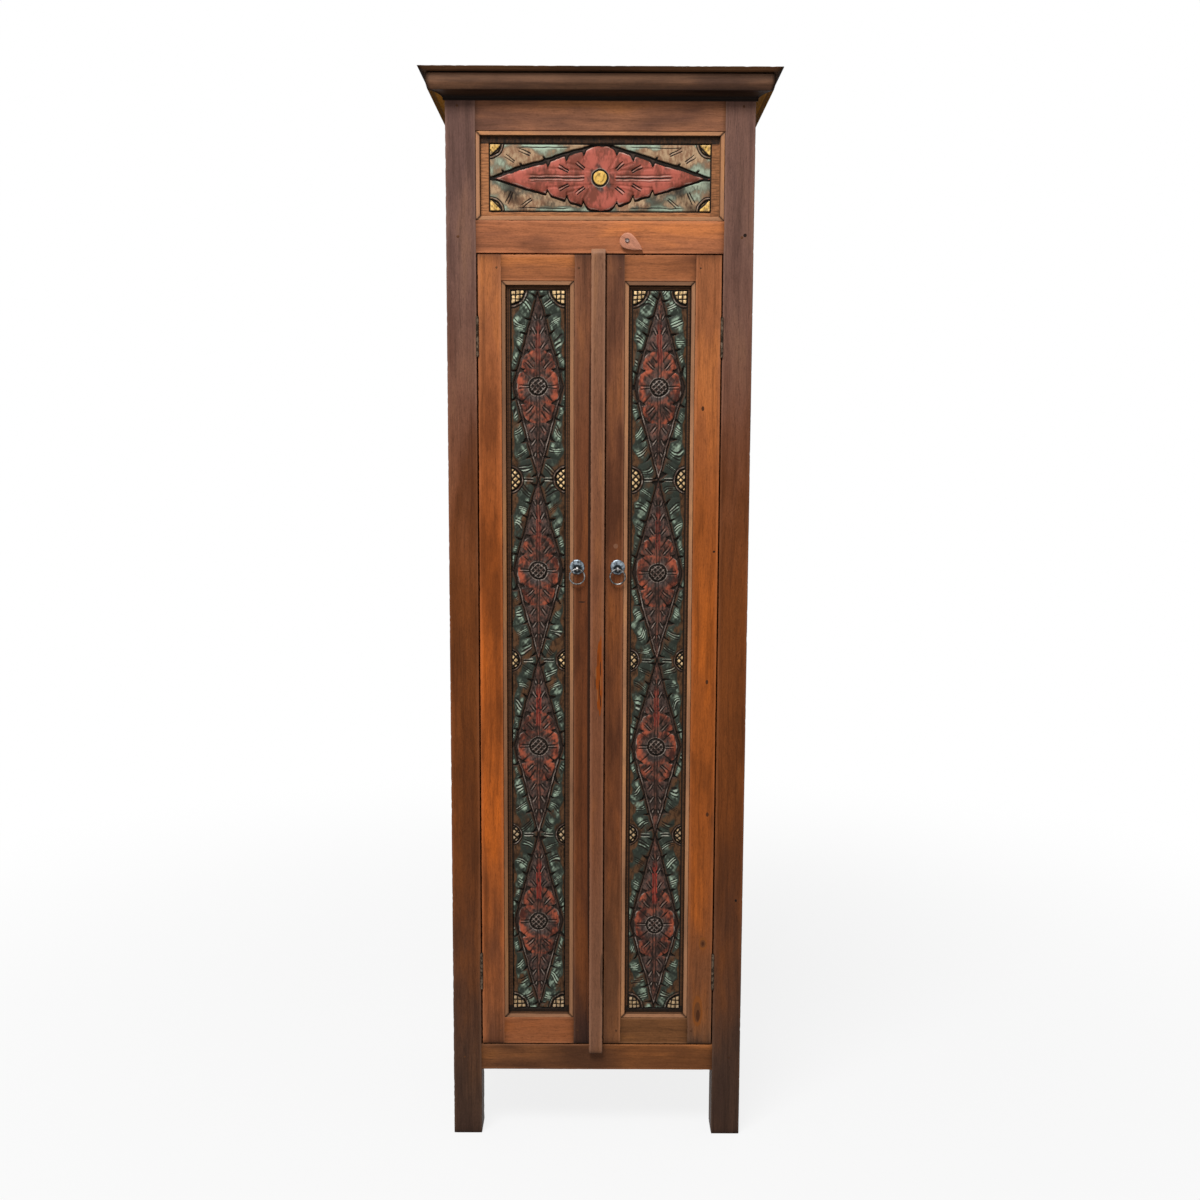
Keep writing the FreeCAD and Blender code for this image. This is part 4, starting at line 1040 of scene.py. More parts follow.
    def boss(self, x, z, radius, gilding):
        """Round button at a flower's heart: a moat, a pale ring and a woven dome."""
        dx = self.warp_x - x
        dz = self.warp_z - z
        gap = np.hypot(dx, dz)
        inside = ramp(0.6, -0.6, gap - radius)
        dome = rounded(gap / (radius + 3))
        strands = self.woven(dx, dz, 6.4, 1.5)
        gaps = (1 - strands) * (1 - gilding)
        disc = ramp(radius + 4.5, radius + 3.5, gap)
        self.clear(disc)
        self.lay("leaf", disc)
        self.height = np.where(gap < radius, 2.6 + 2.3 * dome - 0.9 * gaps, self.height)
        self.lay("groove", inside * gaps * 0.9)
        self.lay("ridge", inside * strands * (1 - gilding) * self.patches(9, 0.6, 0.6))
        self.lay("gold", inside * gilding)
        self.lay("groove", inside * gilding * 0.5 * ditch(gap - 6.0, 1.6) * (self.ripple(7) > 0))
        self.cut(ditch(gap - radius - 1.3, 1.8), 1.6)
        self.lay("ridge", 0.75 * ditch(gap - radius - 3.6, 1.2))

    def edge_gap(self, x, z, half_x, half_z):
        """Distance outside a rectangle about a centre, negative inside it."""
        return np.maximum(np.abs(self.x - x) - half_x, np.abs(self.z - z) - half_z)

    def border(self, past, level, shade, seam):
        """Plain border outside the field: its level and coat, a dark line round the field and a thin one at
        the distance seam from it."""
        outside = (past > 0) * 1.0
        self.clear(outside)
        self.height = np.where(past > 0, level, self.height)
        self.lay("bare", outside)
        self.lay("groove", outside * shade)
        self.cut(ditch(past - 0.7, 1.5), 2.0)
        self.cut(0.7 * ditch(past - seam, 0.9), 0.5)

    def shape(self, face, back, rounds, hollow_shade_strength):
        """The carved face as a closed shape: the grid, four fanned edges and a flat back."""
        soft = blurred(self.height, rounds)
        # Painted shade in the hollows under the blurred surface and on all low places, with soiling, and a
        # painted highlight on proud places
        hollow = np.clip((soft - self.height) * hollow_shade_strength, 0, 1)
        proud = np.clip((self.height - soft) * 1.2, 0, 1)
        low = 0.75 * ramp(0.2, -2.6, self.height)
        self.groove = np.clip(np.maximum(np.maximum(self.groove, hollow), low), 0, 1)
        self.ridge = np.clip((self.ridge + 0.5 * proud) * (1 - self.groove), 0, 1)
        rows, columns = self.x.shape
        front = np.stack([self.x * mm, face - self.height * mm, self.z * mm], axis=-1).reshape(-1, 3)
        x0, x1 = self.low[0] * mm, self.high[0] * mm
        z0, z1 = self.low[2] * mm, self.high[2] * mm
        corners = np.array([(x0, back, z0), (x1, back, z0), (x1, back, z1), (x0, back, z1)])
        index = np.arange(rows * columns).reshape(rows, columns)
        quads = np.stack([index[:-1, :-1], index[:-1, 1:], index[1:, 1:], index[1:, :-1]], axis=-1)
        borders = (index[0], index[:, -1], index[-1, ::-1], index[::-1, 0])
        count = rows * columns
        fans = [[count, count + 3, count + 2, count + 1]]
        for side, rim in enumerate(borders):
            first = count + side
            last = count + (side + 1) % 4
            half = len(rim) // 2
            runs = ((rim[1:half + 1], rim[:half], first), (rim[half + 1:], rim[half:-1], last))
            for ahead, behind, corner in runs:
                fans += np.stack([ahead, behind, np.full(len(ahead), corner)], axis=1).tolist()
            fans.append([int(rim[half]), first, last])
        points = np.concatenate([front, corners])
        attributes = {"grain": points + self.rng.uniform(0, 10, 3)}
        groups = {"paint": self.coats[:3], "relief": self.coats[3:6], "coat": self.coats[6:]}
        for key, group in groups.items():
            values = np.stack([getattr(self, coat) for coat in group], axis=-1).reshape(-1, 3)
            attributes[key] = np.concatenate([values, np.zeros((4, 3))])
        return points, quads.reshape(-1, 4), fans, attributes


def carve_door(panel, tips, bosses, reds):
    """Four diamond flowers one over another, leaf sprays outside their lines, gold rosettes at the corners
    and half rosettes where the flowers meet. Lengths along a flower are scaled to one half length, and the
    petals beside its heart end before the pairs of petals above and below."""
    half_length = 155
    half_width = 42.0
    field = 45.0
    heart_end = 28
    petal_end = 60
    middle = (panel.low[0] + panel.high[0]) / 2
    tips = np.array(tips, float)
    bosses = np.array(bosses, float)
    v = np.abs(panel.warp_x - middle)
    number = np.clip(np.searchsorted(tips, panel.warp_z) - 1, 0, len(bosses) - 1)
    u = panel.warp_z - bosses[number]
    length = np.where(u > 0, tips[number + 1] - bosses[number], bosses[number] - tips[number])
    along = u * half_length / length
    run = np.abs(along)
    upper = along > 0
    out = (run / half_length + v / half_width - 1) / math.hypot(1 / half_length, 1 / half_width)
    inside = out < 0
    spray_leaves(panel, run, v, out, field)
    panel.clear(inside * 1.0)
    tint = np.array(reds)[number]
    petal = 31 - 9.5 * np.clip((run - heart_end) / (petal_end - heart_end), 0, 1) ** 1.4
    edge = np.where(run < petal_end, petal, half_width * (1 - run / half_length) - 2.8)
    edge = np.where(run < heart_end, 36.5 - 4.5 * (run / heart_end) ** 2, edge) + 0.7 * panel.ripple(17)
    edge = notched(edge, run, ((heart_end, 8.5), (petal_end, 7.5), (92, 4.0)), 5.0, 1.8)
    blade = (edge - v) * 0.94
    inner = blade > 0
    flank = rounded(1 - np.clip(blade / 9, 0, 1))
    panel.height = np.where(inside, np.where(inner, -0.4 + 2.6 * flank, -1.5), panel.height)
    panel.height -= inside * 0.6 * ditch(v, 4.5)
    panel.lay("leaf", inside * 1.0)
    panel.lay("groove", inside * ~inner * 0.3)
    panel.lay("pale", inner * np.where(upper, 0.4, 0.3) * ramp(3.0, 5.0, v) * ramp(56, 66, run))
    zone = np.where(run < petal_end, np.where(upper, 0.7, 0.78), 0.34 * ramp(150, petal_end, run))
    zone = np.where(run < heart_end, 0.95, zone)
    zone = zone * np.where(run < petal_end, 0.55 + 0.45 * ramp(15, 5, blade), 1)
    patch = np.clip(0.78 + 0.5 * panel.ripple(26) + 0.3 * panel.ripple(10), 0.3, 1)
    panel.lay("red", inner * zone * patch * ramp(0, 3, blade))
    panel.lay("red", inside * 0.3 * ramp(4.5, 2.5, v))
    heart = np.hypot(along, v)
    dust = ramp(31, 17, heart) * panel.patches(20, 0.55 - 0.015 * along, 0.5)
    panel.red *= 1 - 0.8 * dust
    panel.lay("pale", dust)
    # Creases cut in and painted dark: painted shade in the folds
    for start, stop in (((29, 30), (13, 13)), ((61, 19), (42, 6))):
        crease = ditch(to_line(run, v, start, stop)[0], 2.0) * inner
        panel.height -= 1.3 * crease
        panel.lay("groove", 0.85 * crease * panel.patches(30, 0.7, 0.6))
    # Painted highlight along the petals' edges
    shine = panel.patches(24, 0.5, 0.8)
    panel.lay("ridge", inner * shine * ditch(blade - 1.1, 1.0) * (run < 66))
    panel.cut(0.75 * ditch(v - 2.3, 1.1) * (run > 14) * (run < 122) * inside, 0.9)
    panel.lay("ridge", 0.35 * ditch(v, 1.1) * (run > 14) * (run < 100) * inside * (panel.ripple(30) > -0.1))
    panel.lay("bright", tint * ditch(v - 2.4, 1.9) * ramp(34, 44, along) * ramp(112, 96, along))
    cuts = [((0, 15), (0, 32)), ((31, 10), (42, 20)), ((-33, 9), (-44, 20)), ((64, 6), (74, 13)),
            ((-66, 6), (-76, 13)), ((88, 4), (99, 10)), ((-88, 4), (-98, 10)), ((112, 3), (120, 7)),
            ((-110, 3), (-118, 7))]
    panel.pairs(along, v, cuts, inside)
    rim = ditch(out + 1.5, 1.5) * (v < field) * (run > 24) * np.where(upper, 0.45, 1.0)
    panel.height += 2.0 * rim
    panel.groove *= 1 - rim
    panel.lay("ridge", 0.7 * rim * panel.patches(35, 0.5, 0.7))
    panel.cut(ditch(out + 3.8, 1.3) * (run > 30) * (v > 3) * np.where(upper, 0.3, 0.6), 1.2)
    for level in tips[1:-1]:
        gap = np.abs(panel.warp_z - level)
        reach = ramp(8, 11, v) * ramp(27, 24, v)
        panel.height += 1.2 * reach * ditch(gap - 2.4, 1.3)
        panel.lay("ridge", 0.8 * reach * ditch(gap - 2.4, 1.2))
        panel.cut(reach * ditch(gap, 1.5), 1.4)
    bottom = tips[0] - 4
    top = tips[-1] + 5
    half_rosettes = [(level, field + 4, 15 + 3 * (level > 1000), 7.6, True) for level in tips[1:-1]]
    rosettes = [(bottom, field, 21, 7.2, False), *half_rosettes, (top, field, 21, 7.2, False)]
    for tip, (z, reach, radius, pitch, slant) in zip(tips, rosettes):
        gilding = 0.5 + 0.5 * ramp(300, 1100, tip)
        for side in (-1, 1):
            panel.rosette(middle + side * reach, z, radius, pitch, slant, gilding)
    for level in bosses:
        panel.boss(middle, level, 13.0, 0.0)
    past = panel.edge_gap(middle, (bottom + top) / 2, field, (top - bottom) / 2)
    panel.border(past, 0.8, 0.6 * (panel.z < tips[0]), 4.6)


def spray_leaves(panel, run, v, out, field):
    """Leaf sprays between the diamonds and the field's edge. Lobes lean outwards towards the meeting of two
    flowers: where the leaning length run less 0.85 out passes a pitch, a black notch bites in from the
    diamond's side, and each lobe is domed and carries a pair of gouges. The sprays thin out to slivers
    beside the flowers' hearts and leave plain ground at the field's edge."""
    pitch = 30.0
    lean = 0.85
    phase = ((run - lean * out + 0.012 * out ** 2 + 8 + 7 * panel.ripple(75)) / pitch) % 1
    bite = 1.1 + 10.0 * np.clip(1 - phase / 0.17, 0, 1) ** 1.1
    blade = out - bite
    lobe = rounded(2 * phase - 1)
    leaf = (blade > 0) & (v < field)
    round_edge = rounded(1 - np.clip(blade / 7, 0, 1))
    reach = (9 + 15 * ramp(40, 120, run)) * (1 + 0.22 * panel.ripple(38))
    fall = ramp(reach + 9, reach - 4, out)
    panel.height = np.where(leaf, -1.8 + round_edge * (1.2 + 1.2 * fall + 1.4 * lobe * fall), -3.2)
    # Painted shade: the sunk ground near black, and each leaf darker along its edge by the notch
    panel.groove = np.where(leaf, 0.25 * ramp(5, 0, blade), 0.95)
    far = np.minimum(panel.high[2] - panel.z, panel.z - panel.low[2])
    lit = np.maximum(ramp(128, 92, run), ramp(150, 90, far))
    tone = 0.22 + 0.6 * lit + 0.35 * panel.ripple(150) + 0.6 * panel.ripple(34)
    broken = np.clip(0.66 + 0.7 * panel.ripple(20) + 0.45 * panel.ripple(8), 0.05, 1)
    cover = panel.patches(48, 1.0, 0.9, 0.15) * np.clip(0.7 + 0.4 * tone, 0.4, 1)
    panel.lay("teal", leaf * cover * ramp(0, 3, fall * 4) * ramp(0, 4, blade))
    # Painted highlight: each lobe paler along its domed crest
    panel.lay("pale", leaf * lobe * fall * np.clip(tone, 0, 1) * ramp(2, 7, blade) * broken)
    panel.lay("leaf", leaf * 0.6 * ramp(6, 0, blade))
    band = leaf * ramp(2.5, 5.5, blade) * ramp(reach + 4, reach - 2, out)
    for place in (0.4, 0.53, 0.66):
        panel.cut(ditch((phase - place) * pitch, 1.1) * band, 1.2)
    # Pale lines between the gouges: rubbed paint with a painted highlight
    for place in (0.465, 0.595):
        line = ditch((phase - place) * pitch, 0.95) * band
        panel.groove *= 1 - line
        panel.lay("ridge", line * panel.patches(45, 0.2 + 0.4 * tone, 0.8, 0.05, 0.9))
        panel.lay("pale", line * panel.patches(40, 0.2, 0.9, 0, 0.8))


def carve_frieze(panel):
    """One wide flower with scalloped edges, a straight line over its upper edges, gold quarter rosettes in
    the corners and leaves in the triangles."""
    middle = (panel.low[0] + panel.high[0]) / 2
    heart = (panel.low[2] + panel.high[2]) / 2 - 2.5
    field_u = 182.0
    field_high = 54.0
    field_low = 53.0
    flower_u = 173
    flower_v = 52
    line_u = 183
    line_v = 57
    u = np.abs(panel.warp_x - middle)
    rise = panel.warp_z - heart
    v = np.abs(rise)
    edge = flower_v * np.clip(1 - u / flower_u, 0, 1) + 2 * np.exp(-((u - 13) / 9) ** 2)
    edge = notched(edge + 0.5 * panel.ripple(13), u, ((27.5, 7.5), (55, 8.5), (87, 7.5)), 3.4, 1.9)
    out = (v - edge) * 0.95
    line = (v - line_v * np.clip(1 - u / line_u, 0, 1) ** 0.9) * 0.95
    flower = out < 0
    ground = np.where(rise > 0, line > 1.2, out > 3.0)
    depth = np.clip(-out / 10, 0, 1)
    panel.height = np.where(ground, -0.4 + 1.4 * ramp(0, 9, line), -1.2)
    panel.leaf = np.where(ground, 0.0, 1.0)
    panel.groove = np.where(ground, 0.0, 0.25)
    rim = np.minimum(field_high - rise, field_low + rise)
    flow = waves(panel.rng, ((0.25 * panel.x, 0.8 * panel.z), 46), ((0.5 * panel.x, panel.z), 24))
    tone = 0.12 + 0.55 * flow + 0.5 * panel.ripple(120) + 0.45 * ramp(12, 2, rim) + 0.35 * ramp(135, 170, u)
    panel.teal = np.where(ground, np.clip(tone + 0.25 * (rise < 0) * ramp(14, 4, line), 0, 0.9), 0.0)
    panel.pale = np.where(ground, np.clip(tone - 0.15, 0, 1), 0.0)
    panel.lay("groove", ground * (rise < 0) * panel.patches(60, 0.28, 0.35, 0, 0.55))
    for place in (159, 128, 91):
        panel.cut(ditch(u - place - 0.7 * line, 2.4) * ramp(8, 3, line) * (rise > 0) * ground, 2.0)
    for side, cuts in ((1, [((142, 26), (156, 36)), ((116, 38), (134, 46))]),
                       (-1, [((146, 23), (155, 41)), ((114, 34), (129, 46))])):
        panel.pairs(u, rise * side, cuts, ground, 1.1, 1.7, 1.2, 0.6)
    reach = ramp(40, 60, u) * ramp(150, 125, u) * ground
    panel.cut(0.8 * ditch(rim - 5.0, 1.1) * reach, 1.0)
    panel.lay("ridge", 0.6 * ditch(rim - 7.0, 1.1) * reach * panel.patches(40, 0.5, 0.7))
    panel.cut(ditch(line - 0.2, 2.1) * (rise > 0) * (v > 2), 2.6)
    panel.cut(ditch(out - 1.8, 2.2) * np.where(rise > 0, 0.55, 1.0), 1.8)
    panel.clear(flower * 1.0)
    swell = rounded(1 - depth)
    fold = sum(ditch(to_line(u, v, (13, 11), tip)[0], 2.6) for tip in ((27, 34), (54, 24), (86, 16)))
    fold = np.clip(fold, 0, 1)
    dip = 0.9 * fold + 0.6 * ditch(v, 7) * ramp(20, 40, u)
    panel.height = np.where(flower, -0.2 + 3.4 * swell - dip, panel.height)
    panel.leaf = np.where(flower, 1.0, panel.leaf)
    panel.red = np.where(flower, panel.patches(40, 0.9, 0.3, 0.45), panel.red)
    halo = ramp(27, 17, np.hypot(u, v)) * panel.patches(22, 0.45 - 0.012 * rise, 0.6)
    panel.red *= 1 - 0.75 * halo
    panel.lay("pale", halo * flower)
    panel.lay("groove", flower * 0.2 * fold)
    # Painted highlight along the flower's edges
    panel.lay("ridge", flower * panel.patches(35, 0.3, 0.6, 0, 0.8) * ditch(out + 1.3, 1.1))
    panel.pairs(u, v, [((27, 15), (39, 25)), ((53, 11), (68, 19))], flower, 1.2, 1.7, 1.6, 0.8)
    vein = ramp(22, 28, u) * ramp(124, 112, u)
    panel.cut(ditch(v, 1.5) * vein, 1.2)
    # A pale line beside the vein: rubbed paint with a painted highlight
    panel.lay("ridge", 0.9 * ditch(v - 2.9, 1.2) * vein)
    panel.cut(0.5 * ditch(v - 5.2, 1.3) * vein, 0.8)
    for x in (middle - field_u, middle + field_u):
        for z in (heart - field_low, heart + field_high):
            panel.rosette(x, z, 17, 30, True, 1.0)
    panel.lay("groove", 0.55 * panel.gold * ramp(0.25, 0.5, panel.ripple(8)))
    panel.boss(middle, heart, 11.0, 1.0)
    centre = heart + (field_high - field_low) / 2
    past = panel.edge_gap(middle, centre, field_u, (field_high + field_low) / 2)
    top_shade = 0.6 * ramp(field_high, field_high + 1, rise)
    right_shade = 0.32 * (panel.x > middle + field_u)
    panel.border(past, 1.2, np.maximum(top_shade, right_shade), 30)


def carved_panel(name, body, paint, plain, carver, pattern, seed, cell, along, rounds, hollow_shade_strength):
    """A carved face inside its moulding, and behind it a plain board that fills the panel's grooves, with
    its grain along an axis. Rounds of blurring find the hollows, and the last argument says how black they
    are painted, as painted shade with soiling."""
    node = name + "_panel"
    margin = 7.4
    thickness = 6.5 * mm
    overlap = 1 * mm
    low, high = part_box(name + "_moulding")
    panel = Carving((low, high), margin, cell, seed)
    carver(panel, *pattern)
    back = high.y + thickness
    face = panel.shape(high.y, back, rounds, hollow_shade_strength)
    add_piece("looks_" + node, face, body, "carved_teak", paint, node)
    low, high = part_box(node)
    rear = board(seed_of(node), (low.x, back - overlap, low.z), tuple(high), along, pitch=30 * mm)
    add_piece(f"looks_{node}_back", rear, body, "carved_teak", plain, node)


class CABINET_OT_carving(bpy.types.Operator):
    """Carved door panels and carved frieze"""
    bl_idname = "cabinet.carving"
    bl_label = "Carved panels"

    def execute(self, context):
        settings = context.scene.cabinet_carving
        cell = settings.cell / mm
        wood = tuple(settings.ground)
        plain = plain_teak("panel_back_teak")
        door_paint = carved_paint(
            "carved_door_paint", ground=wood, shade=dimmed(wood, 0.3), border=(0.085, 0.036, 0.015),
            teal=tuple(settings.teal), base=tuple(settings.red), deep=(0.05, 0.014, 0.009),
            gilt=tuple(settings.gold))
        tips = (237, 549, 858, 1168, 1477)
        bosses = {"left": (392, 707, 1013, 1324), "right": (386, 706, 1010, 1323)}
        reds = {"left": (1.0, 0.9, 0.35, 0.3), "right": (1.0, 0.6, 0.4, 0.45)}
        for side in ("left", "right"):
            door = side + "_door"
            carved_panel(door, door, door_paint, plain, carve_door, (tips, bosses[side], reds[side]),
                         seed=seed_of(door + "_panel"), cell=cell, along=2, rounds=6, hollow_shade_strength=0.7)
        frieze_paint = carved_paint(
            "carved_frieze_paint", ground=(0.36, 0.24, 0.14), shade=(0.21, 0.11, 0.06),
            border=(0.35, 0.14, 0.054), teal=(0.33, 0.36, 0.26), base=(0.36, 0.088, 0.06),
            deep=(0.15, 0.04, 0.024), gilt=tuple(settings.frieze_gold))
        carved_panel("frieze", "carcass", frieze_paint, plain, carve_frieze, (), seed=77, cell=0.68 * cell,
                     along=0, rounds=9, hollow_shade_strength=0.6)
        return {"FINISHED"}


# Small pieces

def islands(node):
    """Boxes of the separate solids of a CAD node: its points sorted by x, then by z, with a new group
    wherever the sorted values jump by more than a gap."""
    gap = 3 * mm
    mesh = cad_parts[node].data
    points = np.empty(len(mesh.vertices) * 3)
    mesh.vertices.foreach_get("co", points)
    points = points.reshape(-1, 3)
    groups = [points]
    for axis in (0, 2):
        split = []
        for group in groups:
            group = group[np.argsort(group[:, axis])]
            jumps = np.flatnonzero(np.diff(group[:, axis]) > gap) + 1
            split += np.split(group, jumps)
        groups = split
    return [(group.min(axis=0), group.max(axis=0)) for group in groups]


def dowel(low, high, seed):
    """A peg: a shaft with a slightly domed end at the front."""
    slack = 0.1 * mm
    radius = (high[0] - low[0]) / 2 - slack
    reach = high[1] - low[1]
    outline = [(0.3 * radius, 0), (0.7 * radius, 0.08 * mm), (0.95 * radius, 0.25 * mm), (radius, 0.7 * mm),
               (radius, reach), (0.5 * radius, reach)]
    centre = ((low[0] + high[0]) / 2, low[1], (low[2] + high[2]) / 2)
    return turned(outline, centre, (0, 1, 0), 16, hammer=0.03, seed=seed)


class CABINET_OT_pegs(bpy.types.Operator):
    """Wooden pegs through the joints"""
    bl_idname = "cabinet.pegs"
    bl_label = "Pegs"

    def execute(self, context):
        wood = teak("peg_end_grain", context.scene.cabinet_teak.peg, streaky=0.6, worn=0.2, dirt_and_shade=0.3)
        for name, body in (("frame_pegs", "carcass"), ("left_door_pegs", "left_door"),
                           ("right_door_pegs", "right_door")):
            pegs = [dowel(low, high, seed) for seed, (low, high) in enumerate(islands(name))]
            add_piece("looks_" + name, joined(pegs), body, "peg_wood", wood, name)
        return {"FINISHED"}


class CABINET_OT_pulls(bpy.types.Operator):
    """Ring pulls: domed plates, eyes and rings"""
    bl_idname = "cabinet.pulls"
    bl_label = "Ring pulls"

    def execute(self, context):
        metals = context.scene.cabinet_metal
        # Painted dark reflection about the eyes of the domed plates: x, z and radius in millimetres
        eyes = ((-36.6, 1017, 9), (32.3, 1017, 9))
        iron = metal("black_iron", metals.iron, rough=0.25, marks=eyes)
        wire_steel = metal("ring_steel", metals.ring, rough=0.3)
        rim = 0.9 * mm
        rise = 1.7 * mm
        sunk = 0.2 * mm
        step = 0.3 * mm
        hub = 0.04
        ring_points = 72
        wire_points = 14
        for side in ("left", "right"):
            low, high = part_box(side + "_pull_plate")
            centre = ((low.x + high.x) / 2, high.y, (low.z + high.z) / 2)
            radius = (high.x - low.x) / 2
            dome = np.linspace(0, math.pi / 2, 9)
            outline = [(hub * radius, sunk), (radius, sunk), (radius, -rim)]
            outline += [(max(hub, math.cos(angle)) * (radius - step), -rim - rise * math.sin(angle))
                        for angle in dome]
            plate = turned(outline, centre, (0, 1, 0), 48, hammer=0.02, seed=seed_of(side))
            node = side + "_pull_plate"
            add_piece("looks_" + node, plate, side + "_door", "black_iron", iron, node)
            low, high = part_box(side + "_pull_ring")
            middle = np.array([(a + b) / 2 for a, b in zip(low, high)])
            wire = (high.y - low.y) / 2
            ring = (high.x - low.x) / 2 - wire
            round_ring = np.linspace(0, 2 * math.pi, ring_points, endpoint=False)[:, None]
            round_wire = np.linspace(0, 2 * math.pi, wire_points, endpoint=False)[None, :]
            thick = wire * (0.94 + 0.05 * np.sin(5 * round_ring + 1) + 0 * round_wire)
            reach = ring + thick * np.cos(round_wire)
            points = np.stack([middle[0] + reach * np.cos(round_ring),
                               middle[1] + thick * np.sin(round_wire),
                               middle[2] + reach * np.sin(round_ring)], axis=-1).reshape(-1, 3)
            quads = ring_quads(ring_points + 1, wire_points) % len(points)
            node = side + "_pull_ring"
            add_piece("looks_" + node, (points, quads, [], {"grain": points}), side + "_ring", "black_iron",
                      wire_steel, node)
            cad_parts[side + "_pull_eye"].material_slots[0].material = wire_steel
        return {"FINISHED"}


class CABINET_OT_button(bpy.types.Operator):
    """Leaf-shaped turn button"""
    bl_idname = "cabinet.button"
    bl_label = "Turn button"

    def execute(self, context):
        wood = teak("button_wood", context.scene.cabinet_teak.button, streaky=0.35, patchy=0.4, worn=0.5)
        screw_low, screw_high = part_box("turn_button_screw")
        low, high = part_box("turn_button_leaf")
        pivot = ((screw_low.x + screw_high.x) / 2, high.y, (screw_low.z + screw_high.z) / 2)
        thick = high.y - low.y
        head = 12.2 * mm
        tip = 29.5 * mm
        half = 13 * mm
        taper = 1.56
        crease = 0.8 * mm
        sweep = np.linspace(0, math.pi, 40)[1:-1]
        run = np.cos(sweep) * (head + tip) / 2 + (head - tip) / 2
        wide = np.where(run > 0, half * np.sqrt(np.clip(1 - (run / head) ** 2, 0, 1)),
                        half * (1 - np.abs(run / tip) ** taper))
        front_line = np.linspace(-1, 1, 15)
        back_line = np.linspace(1, -1, 9)[1:-1]
        across = np.concatenate([front_line, back_line])
        front = np.concatenate([np.ones(len(front_line)), np.zeros(len(back_line))])
        lateral = wide[:, None] * across
        rise = thick * (1 - 0.22 * np.abs(across) ** 3 - 0.08 * np.exp(-(lateral / crease) ** 2))
        reach = np.where(front > 0, rise, 0.0)
        turn = -math.radians(60)
        x = lateral * math.cos(turn) + run[:, None] * math.sin(turn)
        z = -lateral * math.sin(turn) + run[:, None] * math.cos(turn)
        points = np.stack([pivot[0] + x, pivot[1] - reach, pivot[2] + z], axis=-1)
        along = np.broadcast_to(run[:, None], lateral.shape)
        grain = np.stack([along, lateral, reach], axis=-1) + 3.0
        near = np.broadcast_to(np.abs(across) ** 4, lateral.shape)
        rub = np.stack([near, 0 * near, 0 * near + 0.5], axis=-1)
        add_piece("looks_turn_button", tube(points, grain, rub), "turn_button", "button_wood", wood,
                  "turn_button_leaf")
        return {"FINISHED"}


class CABINET_OT_hinges(bpy.types.Operator):
    """Steel of the hinges and screws"""
    bl_idname = "cabinet.hinges"
    bl_label = "Hinges and screws"

    def execute(self, context):
        metals = context.scene.cabinet_metal
        steel = metal("hinge_steel", metals.steel, rough=0.4)
        screw = metal("screw_steel", dimmed(metals.steel, 0.4), rough=0.45)
        steel_head = metal("button_screw_steel", metals.head, rough=0.35)
        for name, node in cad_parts.items():
            if "_hinge_" in name and "stile" not in name and "screws" not in name:
                node.material_slots[0].material = steel
            elif name == "turn_button_screw":
                node.material_slots[0].material = steel_head
            elif "screw" in name:
                node.material_slots[0].material = screw
        return {"FINISHED"}


# Stage

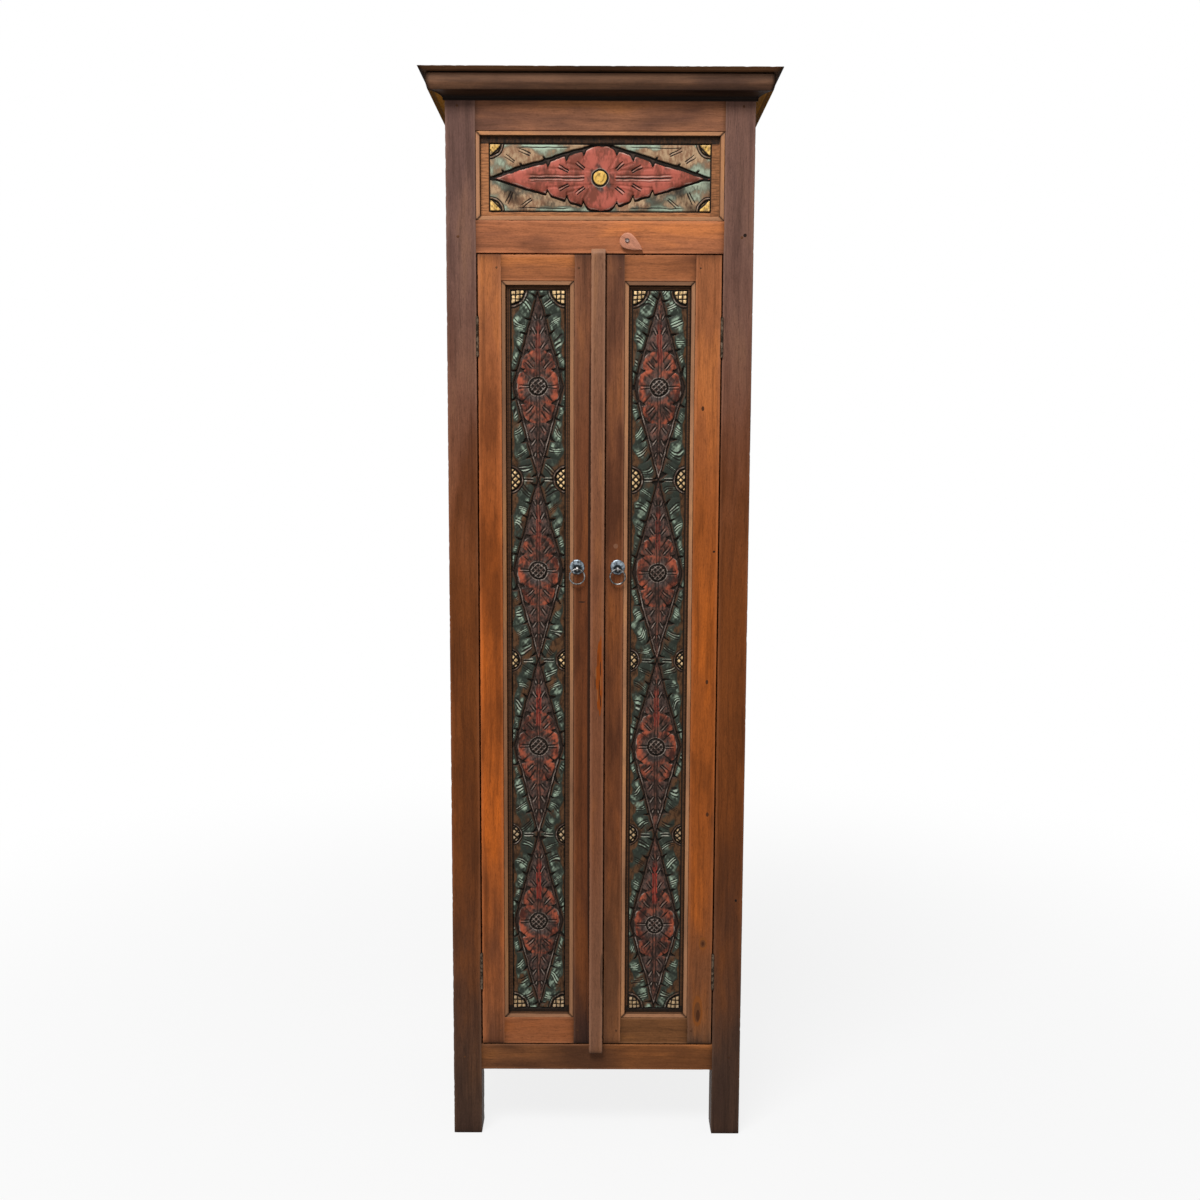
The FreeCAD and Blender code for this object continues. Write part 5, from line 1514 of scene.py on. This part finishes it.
class CABINET_OT_stage(bpy.types.Operator):
    """Camera, floor, lights and white surroundings"""
    bl_idname = "cabinet.stage"
    bl_label = "Stage"

    def execute(self, context):
        settings = context.scene.cabinet_stage
        scene = context.scene
        scene.view_settings.view_transform = "Standard"
        camera = bpy.data.objects.new("camera", bpy.data.cameras.new("camera"))
        camera.data.lens = settings.lens
        camera.data.sensor_width = 36.0
        look = Matrix.Rotation(math.pi / 2 - settings.tilt, 4, "X") @ Matrix.Rotation(settings.roll, 4, "Z")
        camera.matrix_world = Matrix.Translation(settings.place) @ look
        scene.collection.objects.link(camera)
        scene.camera = camera
        key = bpy.data.lights.new("key_light", "AREA")
        key.shape = "RECTANGLE"
        key.size = 2.2
        key.size_y = 1.6
        key.energy = settings.key
        lamp = bpy.data.objects.new("key_light", key)
        place = Vector((-1.0, -2.6, 4.5))
        aim = Vector((0, cad_low.y, cad_high.z / 2)) - place
        lamp.matrix_world = Matrix.Translation(place) @ aim.to_track_quat("-Z", "Y").to_matrix().to_4x4()
        scene.collection.objects.link(lamp)
        self.surroundings(scene, settings)
        self.floor(settings)
        return {"FINISHED"}

    def surroundings(self, scene, settings):
        """White where it is seen or reflected, and a soft even fill as light."""
        world = bpy.data.worlds.new("surroundings")
        scene.world = world
        world.use_nodes = True
        nodes = Nodes(world.node_tree)
        background = world.node_tree.nodes["Background"]
        strength = nodes.node("ShaderNodeMapRange", {}, {"Value": nodes.seen(), "To Min": settings.fill,
                                                         "To Max": 1.0})
        nodes.feed(background.inputs["Color"], (1, 1, 1))
        nodes.feed(background.inputs["Strength"], strength)

    def floor(self, settings):
        """Flat pale floor that is near white to the camera and keeps a soft shadow."""
        reach = 8.0
        mesh = bpy.data.meshes.new("floor")
        corners = [(-reach, -reach, 0), (reach, -reach, 0), (reach, reach, 0), (-reach, reach, 0)]
        mesh.from_pydata(corners, [], [(0, 1, 2, 3)])
        floor = bpy.data.objects.new("floor", mesh)
        bpy.context.scene.collection.objects.link(floor)
        finish = Finish("floor", {"Roughness": 0.9, "Specular IOR Level": 0.0})
        finish.feed(finish.shader.inputs["Base Color"], tuple(settings.floor))
        glow = finish.node("ShaderNodeEmission", {}, {"Color": (1, 1, 1), "Strength": 1.0})
        shade = Value(finish, finish.shader.outputs[0])
        far = finish.node("ShaderNodeVectorMath", {"operation": "LENGTH"}, {0: finish.place()}, 1)
        near_white = 0.84
        fade_start = 0.6
        fade_end = 2.6
        white = near_white + (1 - near_white) * finish.ease(far, fade_start, fade_end)
        both = finish.node("ShaderNodeMixShader", {}, {0: finish.seen() * white, 1: shade, 2: glow})
        finish.feed(finish.tree.nodes["Material Output"].inputs["Surface"], both)
        mesh.materials.append(finish.material)


class CABINET_PT_panel(bpy.types.Panel):
    """Lists the cabinet's operators and settings in the sidebar"""
    bl_idname = "CABINET_PT_panel"
    bl_label = "Cabinet"
    bl_space_type = "VIEW_3D"
    bl_region_type = "UI"
    bl_category = "Cabinet"

    def draw(self, context):
        for operator in operators:
            self.layout.operator(operator.bl_idname)
        for key, group in settings_groups.items():
            column = self.layout.column()
            column.label(text=group.__doc__)
            for name in group.__annotations__:
                column.prop(getattr(context.scene, key), name)


settings_groups = {
    "cabinet_stage": StageSettings,
    "cabinet_teak": TeakSettings,
    "cabinet_carving": CarvingSettings,
    "cabinet_metal": MetalSettings,
}
operators = (
    CABINET_OT_stage,
    CABINET_OT_frame,
    CABINET_OT_plain_boards,
    CABINET_OT_cornice,
    CABINET_OT_door_frames,
    CABINET_OT_mouldings,
    CABINET_OT_carving,
    CABINET_OT_pegs,
    CABINET_OT_pulls,
    CABINET_OT_button,
    CABINET_OT_hinges,
)


def register():
    for group in settings_groups.values():
        bpy.utils.register_class(group)
    for key, group in settings_groups.items():
        setattr(bpy.types.Scene, key, bpy.props.PointerProperty(type=group))
    for operator in operators:
        bpy.utils.register_class(operator)
    bpy.utils.register_class(CABINET_PT_panel)


def unregister():
    bpy.utils.unregister_class(CABINET_PT_panel)
    for operator in reversed(operators):
        bpy.utils.unregister_class(operator)
    for key, group in settings_groups.items():
        delattr(bpy.types.Scene, key)
        bpy.utils.unregister_class(group)


def main():
    register()
    for operator in operators:
        group, name = operator.bl_idname.split(".")
        getattr(getattr(bpy.ops, group), name)()
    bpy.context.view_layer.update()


if __name__ == "__main__":
    main()
